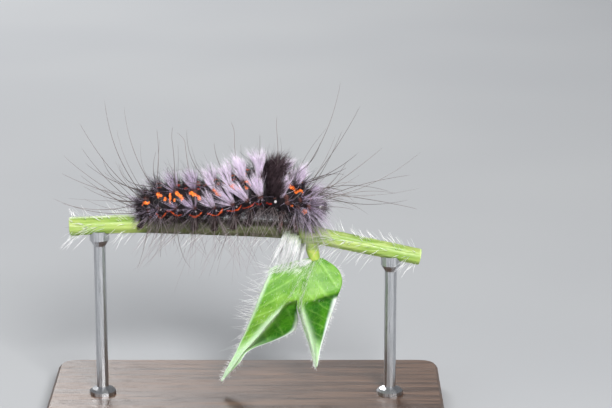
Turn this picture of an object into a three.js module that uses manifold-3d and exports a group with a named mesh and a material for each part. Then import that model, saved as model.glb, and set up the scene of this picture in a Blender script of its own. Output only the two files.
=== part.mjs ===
// A hairy moth larva walking along a cut length of green stem, life size, on a plain stand.
// Millimetres, +Z up, +X towards the head; the animal's right side faces -Y. Origin: middle of the stand's underside.
import * as THREE from "three";
import { mergeVertices } from "three/addons/utils/BufferGeometryUtils.js";
import Module from "manifold-3d";

const wasm = await Module();
wasm.setup();
const { Manifold, Mesh: WasmMesh } = wasm;

// ---------------------------------------------------------------- sizes
const DEG = Math.PI / 180;
const BASE = { length: 50, width: 27, height: 3, corner: 2.2, bevel: 0.35 };
const ROD = { x: 18.3, shaft: 0.75, foot: 1.7, footHeight: 0.7, cup: 1.25, cupHeight: 1.5 };
const STEM = {
  from: -22, to: 22, radiusRear: 1.21, radiusFront: 1.07,
  height: 25.465, crestX: -13.9, nodeX: 5.2, softness: 1.2,
  slopes: [0.05, -0.04, -0.215],
  nodeSwell: 0.24, nodeSwellX: 7.9, nodeSwellWidth: 1.3, sides: 16, steps: 16,
};
const ROLL = 22; // the body leans round the stem towards its right side, in degrees
const BODY = {
  tailX: -13.5, rideHeight: 4.16, humpHeight: 2.2, humpX: 2.74, humpWidth: 3.9,
  tailDrop: 2.2, tailDropLength: 2.08, sectionTilt: 0.6, foldDepth: 0.16, gap: 0.04,
  bellyFlat: 0.1,
};
// one row for each ring of the body, tail first: length, radius of the bare skin, and how far the coat stands
// out at the upper (dorsal), lower (lateral) and hanging (fringe) tufts
const SEGMENTS = [
  { name: "abdomen_10", length: 1.12, radius: 1.16, dorsal: 0.55, lateral: 0.75, fringe: 0.6 },
  { name: "abdomen_9", length: 0.82, radius: 1.7, dorsal: 0.8, lateral: 0.8, fringe: 0.8 },
  { name: "abdomen_8", length: 1.94, radius: 2.12, dorsal: 0.95, lateral: 0.85, fringe: 1.1 },
  { name: "abdomen_7", length: 2.25, radius: 2.26, dorsal: 1.1, lateral: 1.0, fringe: 1.3 },
  { name: "abdomen_6", length: 2.37, radius: 2.3, dorsal: 1.25, lateral: 1.2, fringe: 1.4 },
  { name: "abdomen_5", length: 2.56, radius: 2.36, dorsal: 1.55, lateral: 1.35, fringe: 1.4 },
  { name: "abdomen_4", length: 2.13, radius: 2.48, dorsal: 1.75, lateral: 1.45, fringe: 1.5 },
  { name: "abdomen_3", length: 1.56, radius: 2.59, dorsal: 1.85, lateral: 1.5, fringe: 1.5 },
  { name: "abdomen_2", length: 1.63, radius: 2.62, dorsal: 2.05, lateral: 1.55, fringe: 1.5 },
  { name: "abdomen_1", length: 1.63, radius: 2.58, dorsal: 2.1, lateral: 1.7, fringe: 1.5 },
  { name: "thorax_3", length: 1.38, radius: 2.42, dorsal: 1.9, lateral: 1.55, fringe: 1.4 },
  { name: "thorax_2", length: 1.38, radius: 2.17, dorsal: 1.9, lateral: 1.2, fringe: 1.3 },
  { name: "thorax_1", length: 1.22, radius: 1.78, dorsal: 1.35, lateral: 1.3, fringe: 1.2 },
];
const COAT = { short: 0.32, belly: 0.08, lean: 0.6, leanTurnX: 3.7, leanTurnWidth: 1.8, tailLean: 0.25 };
// where the tufts stand round the body: degrees up from the right side
const TUFTS = { dorsal: 62, lateral: 20, fringe: -32, width: 11 };
const RING_ANGLES = [-90, -74, -58, -45, -32, -19, -6, 8, 20, 32, 47, 62, 76];

// ---------------------------------------------------------------- small helpers
const soft = (d, w) => (d / w > 30 ? d : w * Math.log(1 + Math.exp(d / w)));
const bump = (d, w) => Math.exp(-(d / w) * (d / w));
const lerp = (a, b, t) => a + (b - a) * t;
const V = (x, y, z) => new THREE.Vector3(x, y, z);

function solidOf(geometry) {
  const bare = geometry.index ? geometry.toNonIndexed() : geometry.clone();
  const g = new THREE.BufferGeometry().setAttribute("position", bare.getAttribute("position"));
  const m = mergeVertices(g, 1e-4);
  const made = new Manifold(new WasmMesh({
    numProp: 3,
    vertProperties: m.attributes.position.array,
    triVerts: new Uint32Array(m.index.array),
  }));
  return made;
}
function geometryOf(solid) {
  const m = solid.getMesh(), n = m.numProp, v = new Float32Array(m.numVert * 3);
  for (let i = 0; i < m.numVert; i++) v.set(m.vertProperties.subarray(i * n, i * n + 3), i * 3);
  return new THREE.BufferGeometry()
    .setAttribute("position", new THREE.BufferAttribute(v, 3))
    .setIndex(new THREE.BufferAttribute(new Uint32Array(m.triVerts), 1));
}
const largest = (solid) => solid.decompose().sort((a, b) => b.volume() - a.volume())[0];

// A closed skin over rings of points. Each end is a single point, or is closed on the ring's middle.
function loft(rings, startPoint, endPoint) {
  const n = rings[0].length, points = [], faces = [];
  rings.forEach((r) => points.push(...r));
  const middle = (r) => r.reduce((a, p) => a.add(p), V(0, 0, 0)).divideScalar(r.length);
  for (let k = 0; k + 1 < rings.length; k++)
    for (let j = 0; j < n; j++) {
      const a = k * n + j, b = k * n + ((j + 1) % n), c = a + n, d = b + n;
      faces.push([a, b, d], [a, d, c]);
    }
  const s = points.push(startPoint || middle(rings[0])) - 1;
  const e = points.push(endPoint || middle(rings[rings.length - 1])) - 1;
  const last = (rings.length - 1) * n;
  for (let j = 0; j < n; j++) {
    faces.push([s, (j + 1) % n, j], [e, last + j, last + ((j + 1) % n)]);
  }
  return closed(points, faces);
}
function closed(points, faces) {
  const volume = faces.reduce((v, [a, b, c]) => v + points[a].dot(points[b].clone().cross(points[c])), 0);
  const index = volume < 0 ? faces.map(([a, b, c]) => [a, c, b]) : faces;
  return new THREE.BufferGeometry()
    .setAttribute("position", new THREE.Float32BufferAttribute(points.flatMap((p) => p.toArray()), 3))
    .setIndex(index.flat());
}

// ---------------------------------------------------------------- the stem's and the body's lines
function stemAxis(x) {
  const [s0, s1, s2] = STEM.slopes;
  const z = STEM.height + s0 * (x - STEM.crestX) + (s1 - s0) * soft(x - STEM.crestX, STEM.softness)
    + (s2 - s1) * soft(x - STEM.nodeX, STEM.softness);
  return V(x, 0, z);
}
const stemRadius = (x) => lerp(STEM.radiusRear, STEM.radiusFront, (x - STEM.from) / (STEM.to - STEM.from))
  + STEM.nodeSwell * bump(x - STEM.nodeSwellX, STEM.nodeSwellWidth);
const bodyHeight = (x) => BODY.rideHeight + BODY.humpHeight * bump(x - BODY.humpX, BODY.humpWidth)
  - BODY.tailDrop * Math.exp(-(x - BODY.tailX) / BODY.tailDropLength);
const UP = V(0, -Math.sin(ROLL * DEG), Math.cos(ROLL * DEG));
const bodyAxis = (x) => stemAxis(x).addScaledVector(UP, bodyHeight(x));
// forward, up and right at a station: the sections lean with the back, but less than its slope
function bodyFrame(x) {
  const slope = (bodyHeight(x + 0.05) - bodyHeight(x - 0.05)) / 0.1 - 0.06;
  const a = Math.atan(slope) * BODY.sectionTilt;
  const forward = V(Math.cos(a), 0, 0).addScaledVector(UP, Math.sin(a));
  const right = forward.clone().cross(UP).normalize();
  return { forward, right, up: right.clone().cross(forward).normalize() };
}

let from = BODY.tailX;
for (const s of SEGMENTS) {
  s.from = from;
  s.to = from += s.length;
  s.middle = (s.from + s.to) / 2;
}
const NECK = from;
function between(x, key) {
  // smooth run of a size from ring to ring
  const m = SEGMENTS.map((s) => s.middle);
  let i = m.findIndex((v) => v > x);
  if (i === 0) return SEGMENTS[0][key];
  if (i < 0) return SEGMENTS[SEGMENTS.length - 1][key];
  const t = (x - m[i - 1]) / (m[i] - m[i - 1]);
  return lerp(SEGMENTS[i - 1][key], SEGMENTS[i][key], t * t * (3 - 2 * t));
}
function skinRadius(x, segment) {
  const t = Math.min(1, Math.max(0, (x - segment.from) / segment.length));
  return between(x, "radius") - BODY.foldDepth * Math.pow(Math.abs(2 * t - 1), 3);
}
const coatLean = (x) => COAT.lean * Math.tanh((COAT.leanTurnX - x) / COAT.leanTurnWidth)
  + COAT.tailLean * Math.exp(-(x - BODY.tailX) / 1.5);
// how far the coat stands out from the skin
function coatHeight(x, angle, segment) {
  const t = (x - segment.middle) / (segment.length * 0.3);
  const side = angle > 90 ? 180 - angle : angle; // the left side mirrors the right
  const ground = side < -45 ? COAT.belly : COAT.short * Math.min(1, (side + 45) / 25 + 0.3);
  const tuft = segment.dorsal * bump(side - TUFTS.dorsal, TUFTS.width)
    + segment.lateral * bump(side - TUFTS.lateral, TUFTS.width * 0.9)
    + segment.fringe * bump(side - TUFTS.fringe, TUFTS.width * 0.9);
  return ground + tuft * Math.exp(-t * t);
}
function bodyPoint(x, angle, radius, height) {
  const f = bodyFrame(x), a = angle * DEG;
  const squash = 1 - BODY.bellyFlat * Math.max(0, -Math.sin(a));
  const out = f.right.clone().multiplyScalar(Math.cos(a)).addScaledVector(f.up, Math.sin(a) * squash);
  return bodyAxis(x).addScaledVector(out, radius + height)
    .addScaledVector(f.forward, -coatLean(x) * Math.max(0, height));
}
// right side's angles, then the left's, once round
const ANGLES = [...RING_ANGLES, 90, ...RING_ANGLES.slice(1).reverse().map((a) => 180 - a)];

function segmentGeometry(segment, grow = 0) {
  const tail = segment === SEGMENTS[0];
  const x0 = segment.from + (grow ? -0.02 : BODY.gap / 2), x1 = segment.to + (grow ? 0.02 : -BODY.gap / 2);
  const station = (t) => lerp(x0, x1, t);
  const ring = (x, shrink = 1, bare = false) => ANGLES.map((a) => {
    const r = skinRadius(x, segment) * shrink + (bare ? 0 : grow);
    return bodyPoint(x, a, r, bare ? 0 : coatHeight(x, a, segment) * shrink);
  });
  const rings = [], round = (t) => Math.sqrt(Math.max(0, 1 - (1 - t) * (1 - t)));
  if (tail) for (const t of [0.1, 0.35, 0.7, 1]) rings.push(ring(station(t), lerp(0.25, 1, round(t))));
  else {
    rings.push(ring(x0, 1, true));
    for (const t of [0, 0.26, 0.5, 0.74, 1]) rings.push(ring(station(t)));
  }
  rings.push(ring(x1, 1, true));
  return loft(rings, tail ? bodyPoint(x0, 90, 0, 0) : bodyAxis(x0), bodyAxis(x1));
}

// ---------------------------------------------------------------- materials
const paint = (hex, roughness, metalness = 0) => new THREE.MeshStandardMaterial({ color: hex, roughness, metalness });
const MATERIAL = {
  dark: paint(0x1a1416, 0.7), pale: paint(0xb3a3c2, 0.85), black: paint(0x141011, 0.75),
  shell: paint(0x0b0909, 0.25), leg: paint(0x2a1612, 0.35), eye: paint(0x050505, 0.1),
  foot: paint(0x4a3230, 0.6), stem: paint(0x86bd2e, 0.55), leaf: paint(0x6db337, 0.6),
  wood: paint(0x4a2f1e, 0.55), steel: paint(0xb9bcc0, 0.3, 1),
};
const larva = new THREE.Group(), root = new THREE.Group();
root.add(larva);
function add(name, geometry, material, parent = larva) {
  const g = geometry instanceof THREE.BufferGeometry ? geometry : geometryOf(geometry);
  g.computeVertexNormals();
  const mesh = new THREE.Mesh(g, material);
  mesh.name = name;
  parent.add(mesh);
}

// ---------------------------------------------------------------- stem
function stemSolid(grow = 0) {
  const rings = [];
  for (let k = 0; k <= STEM.steps; k++) {
    const x = lerp(STEM.from - grow, STEM.to + grow, k / STEM.steps);
    const t = stemAxis(x + 0.1).sub(stemAxis(x - 0.1)).normalize(), across = V(0, 1, 0), up = t.clone().cross(across);
    rings.push(Array.from({ length: STEM.sides }, (_, j) => {
      const a = (j / STEM.sides) * 2 * Math.PI, r = stemRadius(x) + grow;
      return stemAxis(x).addScaledVector(across, Math.cos(a) * r).addScaledVector(up, -Math.sin(a) * r);
    }));
  }
  return solidOf(loft(rings));
}
const stem = stemSolid(), stemRoom = stemSolid(0.03);

// ---------------------------------------------------------------- body rings
const rings = SEGMENTS.map((s) => solidOf(segmentGeometry(s)));
const bodyRoom = Manifold.union(SEGMENTS.map((s) => solidOf(segmentGeometry(s, 0.03))));
SEGMENTS.forEach((s, i) => add(s.name, rings[i],
  /thorax_3|abdomen_[2-6]$/.test(s.name) ? MATERIAL.pale : s.name === "abdomen_1" ? MATERIAL.black : MATERIAL.dark));

// ---------------------------------------------------------------- limbs
// A limb along a bent line, with a radius at each of its rings.
function limb(points, radii, sides, flatten = 1) {
  const curve = new THREE.CatmullRomCurve3(points, false, "centripetal");
  const rings = radii.map((radius, k) => {
    const t = k / (radii.length - 1), p = curve.getPoint(t), along = curve.getTangent(t);
    const a = along.clone().cross(V(1, 0, 0)).normalize(), b = a.clone().cross(along).normalize();
    return Array.from({ length: sides }, (_, j) => {
      const w = (j / sides) * 2 * Math.PI;
      return p.clone().addScaledVector(a, Math.cos(w) * radius * flatten).addScaledVector(b, Math.sin(w) * radius);
    });
  });
  return solidOf(loft(rings));
}
const RIGHT = V(1, 0, 0).cross(UP).normalize();
// a point round the stem: degrees from the body's underside towards the right (side 1) or left (side -1)
const onStem = (x, angle, side, off) => stemAxis(x)
  .addScaledVector(UP, Math.cos(angle * DEG) * (stemRadius(x) + off))
  .addScaledVector(RIGHT, side * Math.sin(angle * DEG) * (stemRadius(x) + off));
const onBody = (x, angle, side, off) => bodyPoint(x, side > 0 ? angle : 180 - angle,
  skinRadius(x, SEGMENTS.find((s) => x >= s.from && x <= s.to)), off);
const ring = (name) => SEGMENTS.find((s) => s.name === name);

// three pairs of jointed true legs, each ending in a claw
const LEG = { thick: 0.38, hip: -58, sides: 6, bands: [1.0, 0.98, 0.8, 0.86, 0.66, 0.46, 0.2] };
for (const [pair, reach, grip, bow] of [["thorax_1", 0.75, 40, 0.45], ["thorax_2", 0.1, 62, 0.5], ["thorax_3", -0.85, 74, 0.55]])
  for (const side of [1, -1]) {
    const s = ring(pair), x = s.middle, hip = onBody(x, LEG.hip, side, -0.35), out = onBody(x, LEG.hip, side, 0.3);
    const foot = onStem(x + reach * (side > 0 ? 1 : 0.7), grip, side, 0.14);
    const knee = out.clone().lerp(foot, 0.45).addScaledVector(RIGHT, side * bow);
    const made = limb([hip, out, knee, foot], LEG.bands.map((b) => b * LEG.thick), LEG.sides)
      .subtract(bodyRoom).subtract(stemRoom);
    add("leg_" + pair.replace("thorax_", "T") + (side > 0 ? "_right" : "_left"), largest(made), MATERIAL.leg);
  }

// soft false legs: four pairs under the middle, one pair at the tail; each ends in a wide gripping sole
const FALSE_LEG = { hip: -60, sides: 8, bands: [1.15, 1.05, 0.86, 0.9, 1.12, 0.95], thick: 0.5 };
for (const [name, grip, lift] of [["abdomen_3", 34, 0.42], ["abdomen_4", 52, 0.05], ["abdomen_5", 66, 0.0], ["abdomen_6", 68, 0.0], ["abdomen_10", 70, 0.0]])
  for (const side of [1, -1]) {
    const s = ring(name), tail = name === "abdomen_10", x = tail ? s.middle + 0.1 : s.middle;
    const hip = onBody(x, FALSE_LEG.hip, side, -0.4), out = onBody(x, FALSE_LEG.hip, side, 0.12);
    const foot = onStem(x - (tail ? 0.25 : 0.1), grip, side, 0.16 + lift);
    const knee = out.clone().lerp(foot, 0.5).addScaledVector(RIGHT, side * (tail ? 0.28 : 0.3));
    const thick = FALSE_LEG.thick * (tail ? 0.9 : 1);
    const made = limb([hip, out, knee, foot], FALSE_LEG.bands.map((b) => b * thick), FALSE_LEG.sides, 0.8)
      .subtract(bodyRoom).subtract(stemRoom);
    add("proleg_" + name.replace("abdomen_", "A") + (side > 0 ? "_right" : "_left"), largest(made), MATERIAL.foot);
  }

// ---------------------------------------------------------------- head
const HEAD = { width: 1.16, height: 1.26, depth: 1.02, ahead: 0.66, drop: 0.1, nod: 45, groove: 0.14, grooveWidth: 0.2 };
const neckFrame = bodyFrame(NECK);
const headCentre = bodyAxis(NECK).addScaledVector(neckFrame.forward, HEAD.ahead).addScaledVector(neckFrame.up, -HEAD.drop);
const face = neckFrame.forward.clone().multiplyScalar(Math.cos(HEAD.nod * DEG)).addScaledVector(neckFrame.up, -Math.sin(HEAD.nod * DEG));
const crown = neckFrame.right.clone().cross(face).normalize();
// from the head's own axes (right, out through the face, up to the crown), in shares of its half sizes, to the model
function headPoint(r, f, u, off = 0) {
  const d = V(r, f, u).normalize();
  const lobes = HEAD.groove * bump(d.x, HEAD.grooveWidth) * Math.max(0, d.z + 0.35);
  const jaw = 1 - 0.2 * Math.max(0, -d.z - 0.2);
  const p = V(d.x * HEAD.width * jaw, d.y * HEAD.depth, d.z * HEAD.height).multiplyScalar(1 - lobes);
  p.addScaledVector(p.clone().normalize(), off);
  return headCentre.clone().addScaledVector(neckFrame.right, p.x).addScaledVector(face, p.y).addScaledVector(crown, p.z);
}
function headSolid(off = 0) {
  const rows = 8, around = 18, list = [];
  for (let k = 1; k < rows; k++) {
    const v = (k / rows) * Math.PI;
    list.push(Array.from({ length: around }, (_, j) => {
      const w = (j / around) * 2 * Math.PI;
      return headPoint(Math.sin(v) * Math.cos(w), Math.sin(v) * Math.sin(w), Math.cos(v), off);
    }));
  }
  return solidOf(loft(list, headPoint(0, 0, 1, off), headPoint(0, 0, -1, off)));
}
const head = headSolid().subtract(bodyRoom), headRoom = headSolid(0.02);
add("head", largest(head), MATERIAL.shell);

// eyes: on each cheek a low crescent of small lenses
const EYE = { lens: 0.14, lenses: 6, spread: 75 };
for (const side of [1, -1]) {
  const lenses = [];
  for (let k = 0; k < EYE.lenses; k++) {
    const a = lerp(-EYE.spread, EYE.spread, k / (EYE.lenses - 1)) * DEG;
    const centre = headPoint(side * (0.72 + 0.1 * Math.cos(a)), 0.62 + 0.2 * Math.cos(a), -0.32 + 0.26 * Math.sin(a), 0.0);
    lenses.push(solidOf(new THREE.SphereGeometry(EYE.lens, 6, 4).translate(...centre.toArray())));
  }
  add("eye_" + (side > 0 ? "right" : "left"), largest(Manifold.union(lenses).subtract(headRoom)), MATERIAL.eye);
}
// feelers, jaws and upper lip under the face
const MOUTH = { feeler: 0.25, feelerLength: 0.66, jaw: 0.3, jawLength: 0.62, lip: 0.32 };
const headRings = (centre, toward, radii, length, sides) => {
  const along = toward.clone().normalize(), a = along.clone().cross(neckFrame.right).normalize(), b = a.clone().cross(along);
  return solidOf(loft(radii.map((r, k) => Array.from({ length: sides }, (_, j) => {
    const w = (j / sides) * 2 * Math.PI;
    return centre.clone().addScaledVector(along, (k / (radii.length - 1)) * length)
      .addScaledVector(a, Math.cos(w) * r).addScaledVector(b, Math.sin(w) * r);
  }))));
};
const lipAt = headPoint(0, 0.7, -0.8, -0.12), down = crown.clone().negate();
const lip = headRings(lipAt, face.clone().multiplyScalar(0.5).add(down), [MOUTH.lip, MOUTH.lip * 0.95, MOUTH.lip * 0.7], 0.42, 8)
  .subtract(headRoom).subtract(bodyRoom).subtract(stemRoom);
add("upper_lip", largest(lip), MATERIAL.leg);
for (const side of [1, -1]) {
  const word = side > 0 ? "right" : "left", cheek = neckFrame.right.clone().multiplyScalar(side);
  const jaw = headRings(headPoint(side * 0.46, 0.14, -1, -0.2), down.clone().addScaledVector(cheek, -0.1).addScaledVector(face, 0.25),
    [MOUTH.jaw, MOUTH.jaw, MOUTH.jaw * 0.72], MOUTH.jawLength, 8).subtract(headRoom).subtract(bodyRoom).subtract(stemRoom);
  const lipRoom = headRings(lipAt, face.clone().multiplyScalar(0.5).add(down), [MOUTH.lip + 0.03, MOUTH.lip, MOUTH.lip * 0.75], 0.46, 10);
  add("jaw_" + word, largest(jaw.subtract(lipRoom)), MATERIAL.leg);
  const feeler = headRings(headPoint(side * 0.68, 0.62, -0.62, -0.1), face.clone().add(down).addScaledVector(cheek, 0.7),
    [MOUTH.feeler, MOUTH.feeler, MOUTH.feeler * 0.72, MOUTH.feeler * 0.4], MOUTH.feelerLength, 7)
    .subtract(headRoom).subtract(lipRoom).subtract(jaw).subtract(bodyRoom).subtract(stemRoom);
  add("feeler_" + word, largest(feeler), MATERIAL.leg);
}

// ---------------------------------------------------------------- leaf, hanging from the node on its stalk
const STALK = { x: 8.35, bottom: 3.25, radius: 0.92, lean: 0.42, bands: [1, 1, 0.97, 0.88, 0.74, 0.6] };
const stalkTop = stemAxis(STALK.x), stalkEnd = stalkTop.clone().add(V(STALK.lean, 0, -STALK.bottom));
const stalk = (grow = 0) => limb([stalkTop.clone().add(V(0, 0, -0.2)), stalkTop.clone().add(V(0.06, 0, -1.8)), stalkEnd],
  STALK.bands.map((k) => STALK.radius * k + grow), 12);
add("perch_stem", stem, MATERIAL.stem, root);
add("perch_stalk", largest(stalk().subtract(stemRoom)), MATERIAL.stem, root);

// The blade hangs in two lobes, each creased along its midrib. A row is a depth below the leaf's foot and, from the
// foot's middle, how far to the right the left margin, the midrib and the right margin lie there.
const LEAF = { thick: 0.55, x: 8.75, y: -0.3, z: 21.0, bulge: 2.0, bulgeDepth: 5.4, bulgeHeight: 3.6, columns: 2 };
const LOBES = [
  { crease: 0.36, rows: [[0, -1.1, 0, 0.9], [0.9, -4.9, -0.7, 0.9], [2.4, -6.0, -1.8, 0.4], [4.3, -6.9, -3.0, -0.4],
    [6.2, -7.6, -4.3, -1.2], [8.4, -8.4, -6.0, -2.1], [10, -9.0, -7.1, -2.8], [11.1, -9.5, -8.0, -4.8],
    [12.3, -10.0, -9.0, -7.9], [14.2, -11.0, -10.3, -9.6], [16.3, -12.2, -11.8, -11.4]] },
  { crease: 0.3, rows: [[0, -0.9, 0, 1.1], [0.9, -1.6, -0.4, 2.5], [2.5, -2.2, -1.0, 3.45], [4.3, -2.4, -1.5, 3.0],
    [5.7, -2.3, -1.7, 2.6], [7.7, -1.8, -1.4, 2.0], [10, -1.3, -0.8, 1.4], [12, -0.7, -0.3, 0.85], [14.6, -0.15, 0.15, 0.45]] },
];
const bladeDepth = (depth) => -LEAF.bulge * bump(depth - LEAF.bulgeDepth, LEAF.bulgeHeight);
function lobeSolid(lobe) {
  const w = 2 * LEAF.columns + 1, steps = lobe.rows.length - 1, front = [], back = [], faces = [];
  for (const [depth, left, rib, right] of lobe.rows)
    for (let j = -LEAF.columns; j <= LEAF.columns; j++) {
      const u = j / LEAF.columns, off = u < 0 ? (rib - left) * u : (right - rib) * u;
      const q = V(rib + off, bladeDepth(depth) + Math.abs(off) * lobe.crease * (1 - 0.3 * Math.abs(u)), -depth);
      front.push(q);
      back.push(q.clone().add(V(0, LEAF.thick, 0)));
    }
  const n = front.length, quad = (a, b, c, d) => faces.push([a, b, c], [a, c, d]);
  for (let k = 0; k < steps; k++)
    for (let j = 0; j + 1 < w; j++) {
      const a = k * w + j;
      quad(a, a + 1, a + 1 + w, a + w);
      quad(n + a, n + a + w, n + a + 1 + w, n + a + 1);
    }
  for (let k = 0; k < steps; k++) {
    const a = k * w, b = a + w - 1;
    quad(a, a + w, n + a + w, n + a);
    quad(b, n + b, n + b + w, b + w);
  }
  for (let j = 0; j + 1 < w; j++) {
    const b = steps * w + j;
    quad(j, n + j, n + j + 1, j + 1);
    quad(b, b + 1, n + b + 1, n + b);
  }
  return solidOf(closed([...front, ...back], faces)).translate([LEAF.x, LEAF.y, LEAF.z]);
}
const leaf = Manifold.union(LOBES.map(lobeSolid)).subtract(stalk(0.03)).subtract(stemRoom);
add("perch_leaf", largest(leaf), MATERIAL.leaf, root);

// ---------------------------------------------------------------- stand
const plan = new THREE.Shape(), hl = BASE.length / 2 - BASE.bevel, hw = BASE.width / 2 - BASE.bevel, c = BASE.corner;
plan.moveTo(-hl + c, -hw).lineTo(hl - c, -hw).quadraticCurveTo(hl, -hw, hl, -hw + c).lineTo(hl, hw - c)
  .quadraticCurveTo(hl, hw, hl - c, hw).lineTo(-hl + c, hw).quadraticCurveTo(-hl, hw, -hl, hw - c)
  .lineTo(-hl, -hw + c).quadraticCurveTo(-hl, -hw, -hl + c, -hw);
const slab = new THREE.ExtrudeGeometry(plan, {
  depth: BASE.height - 2 * BASE.bevel, bevelEnabled: true, bevelThickness: BASE.bevel, bevelSize: BASE.bevel,
  bevelSegments: 1, curveSegments: 4,
}).translate(0, 0, BASE.bevel);
add("stand_base", solidOf(slab), MATERIAL.wood, root);
for (const [name, x] of [["stand_rod_rear", -ROD.x], ["stand_rod_front", ROD.x]]) {
  const axis = stemAxis(x), z0 = BASE.height + 0.01, top = axis.z - stemRadius(x) * 0.55, cup = top - ROD.cupHeight;
  const profile = [[0, z0], [ROD.foot, z0], [ROD.foot, z0 + ROD.footHeight * 0.6], [ROD.foot * 0.8, z0 + ROD.footHeight],
    [ROD.shaft, z0 + ROD.footHeight + 0.3], [ROD.shaft, cup - 0.5], [ROD.cup, cup + 0.3], [ROD.cup, top], [0, top]];
  const rod = new THREE.LatheGeometry(profile.map(([r, z]) => new THREE.Vector2(r, z)), 12).rotateX(Math.PI / 2).translate(x, 0, 0);
  add(name, largest(solidOf(rod).subtract(stemRoom)), MATERIAL.steel, root);
}

export default root;
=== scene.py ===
import math

import bpy
import numpy as np
from mathutils import Matrix, Vector


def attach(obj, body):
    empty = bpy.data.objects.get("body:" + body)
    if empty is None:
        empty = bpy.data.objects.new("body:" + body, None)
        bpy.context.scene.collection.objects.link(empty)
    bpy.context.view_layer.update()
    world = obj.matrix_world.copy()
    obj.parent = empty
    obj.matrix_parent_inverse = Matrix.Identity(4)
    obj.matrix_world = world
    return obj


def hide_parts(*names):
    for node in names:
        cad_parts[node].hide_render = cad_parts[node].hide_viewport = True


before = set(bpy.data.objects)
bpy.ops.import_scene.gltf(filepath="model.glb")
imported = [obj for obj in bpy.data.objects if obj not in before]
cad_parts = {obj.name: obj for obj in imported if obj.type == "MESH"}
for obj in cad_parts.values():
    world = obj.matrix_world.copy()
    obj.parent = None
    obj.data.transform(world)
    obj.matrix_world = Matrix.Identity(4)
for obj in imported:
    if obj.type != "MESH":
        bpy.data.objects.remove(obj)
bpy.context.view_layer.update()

# A hairy tussock moth larva walking along a cut green stem, life size, on a plain stand.
# Shapes are worked out in millimetres, in the row frame, and made in metres.
MM = 0.001
DEG = math.pi / 180
rng = np.random.default_rng(20)

# ------------------------------------------------------------------ sizes shared with the solids
STEM = dict(x0=-22.0, x1=22.0, r0=1.21, r1=1.07, height=25.465, crest=-13.9, node=5.2, soft=1.2,
            slopes=(0.05, -0.04, -0.215), swell=0.24, swell_x=7.9, swell_w=1.3)
ROLL = 22.0
BODY = dict(tail=-13.5, ride=4.16, hump=2.2, hump_x=2.74, hump_w=3.9, drop=2.2, drop_l=2.08, tilt=0.6,
            fold=0.16, flat=0.1)
SEGMENTS = [("A10", 1.12, 1.16), ("A9", 0.82, 1.7), ("A8", 1.94, 2.12), ("A7", 2.25, 2.26), ("A6", 2.37, 2.3),
            ("A5", 2.56, 2.36), ("A4", 2.13, 2.48), ("A3", 1.56, 2.59), ("A2", 1.63, 2.62), ("A1", 1.63, 2.58),
            ("T3", 1.38, 2.42), ("T2", 1.38, 2.17), ("T1", 1.22, 1.78)]
NAMES = [s[0] for s in SEGMENTS]
LENGTH = np.array([s[1] for s in SEGMENTS])
RADIUS = np.array([s[2] for s in SEGMENTS])
EDGE = BODY["tail"] + np.concatenate([[0], np.cumsum(LENGTH)])
MIDDLE = (EDGE[1:] + EDGE[:-1]) / 2
NECK = EDGE[-1]


def soft(d, w):
    return w * np.logaddexp(0, np.asarray(d, float) / w)


def bump(d, w):
    return np.exp(-(np.asarray(d, float) / w) ** 2)


def smooth(a, b, x):
    t = np.clip((np.asarray(x, float) - a) / (b - a), 0, 1)
    return t * t * (3 - 2 * t)


def unit(v):
    return v / np.maximum(np.linalg.norm(v, axis=-1, keepdims=True), 1e-12)


def stem_axis(x):
    x = np.asarray(x, float)
    s0, s1, s2 = STEM["slopes"]
    z = (STEM["height"] + s0 * (x - STEM["crest"]) + (s1 - s0) * soft(x - STEM["crest"], STEM["soft"])
         + (s2 - s1) * soft(x - STEM["node"], STEM["soft"]))
    return np.stack([x, 0 * x, z], -1)


def stem_r(x):
    x = np.asarray(x, float)
    return (STEM["r0"] + (STEM["r1"] - STEM["r0"]) * (x - STEM["x0"]) / (STEM["x1"] - STEM["x0"])
            + STEM["swell"] * bump(x - STEM["swell_x"], STEM["swell_w"]))


UP = np.array([0, -math.sin(ROLL * DEG), math.cos(ROLL * DEG)])
RIGHT = np.array([0, -math.cos(ROLL * DEG), -math.sin(ROLL * DEG)])


def body_h(x):
    x = np.asarray(x, float)
    return (BODY["ride"] + BODY["hump"] * bump(x - BODY["hump_x"], BODY["hump_w"])
            - BODY["drop"] * np.exp(-(x - BODY["tail"]) / BODY["drop_l"]))


def body_axis(x):
    return stem_axis(x) + body_h(x)[..., None] * UP


def body_frame(x):
    x = np.asarray(x, float)
    a = np.arctan((body_h(x + .05) - body_h(x - .05)) / .1 - .06) * BODY["tilt"]
    f = np.stack([np.cos(a), 0 * a, 0 * a], -1) + np.sin(a)[..., None] * UP
    r = unit(np.cross(f, UP))
    return f, r, unit(np.cross(r, f))


def between(x, values):
    x = np.asarray(x, float)
    i = np.clip(np.searchsorted(MIDDLE, x, side="right"), 1, len(MIDDLE) - 1)
    t = np.clip((x - MIDDLE[i - 1]) / (MIDDLE[i] - MIDDLE[i - 1]), 0, 1)
    t = t * t * (3 - 2 * t)
    return values[i - 1] * (1 - t) + values[i] * t


def ring_of(x):
    i = np.clip(np.searchsorted(EDGE, x, side="right") - 1, 0, len(LENGTH) - 1)
    return i, np.clip((x - EDGE[i]) / LENGTH[i], 0, 1)


def skin_r(x):
    i, t = ring_of(np.asarray(x, float))
    r = between(x, RADIUS) - BODY["fold"] * np.abs(2 * t - 1) ** 3
    tail = np.clip((x - BODY["tail"]) / LENGTH[0], 0.0, 1)
    neck = np.clip((NECK - x) / 0.42, 0.0, 1)
    return r * np.sqrt(np.maximum(1 - (1 - tail) ** 2, 1e-4)) ** 0.95 * (0.62 + 0.38 * np.sqrt(1 - (1 - neck) ** 2))


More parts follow.
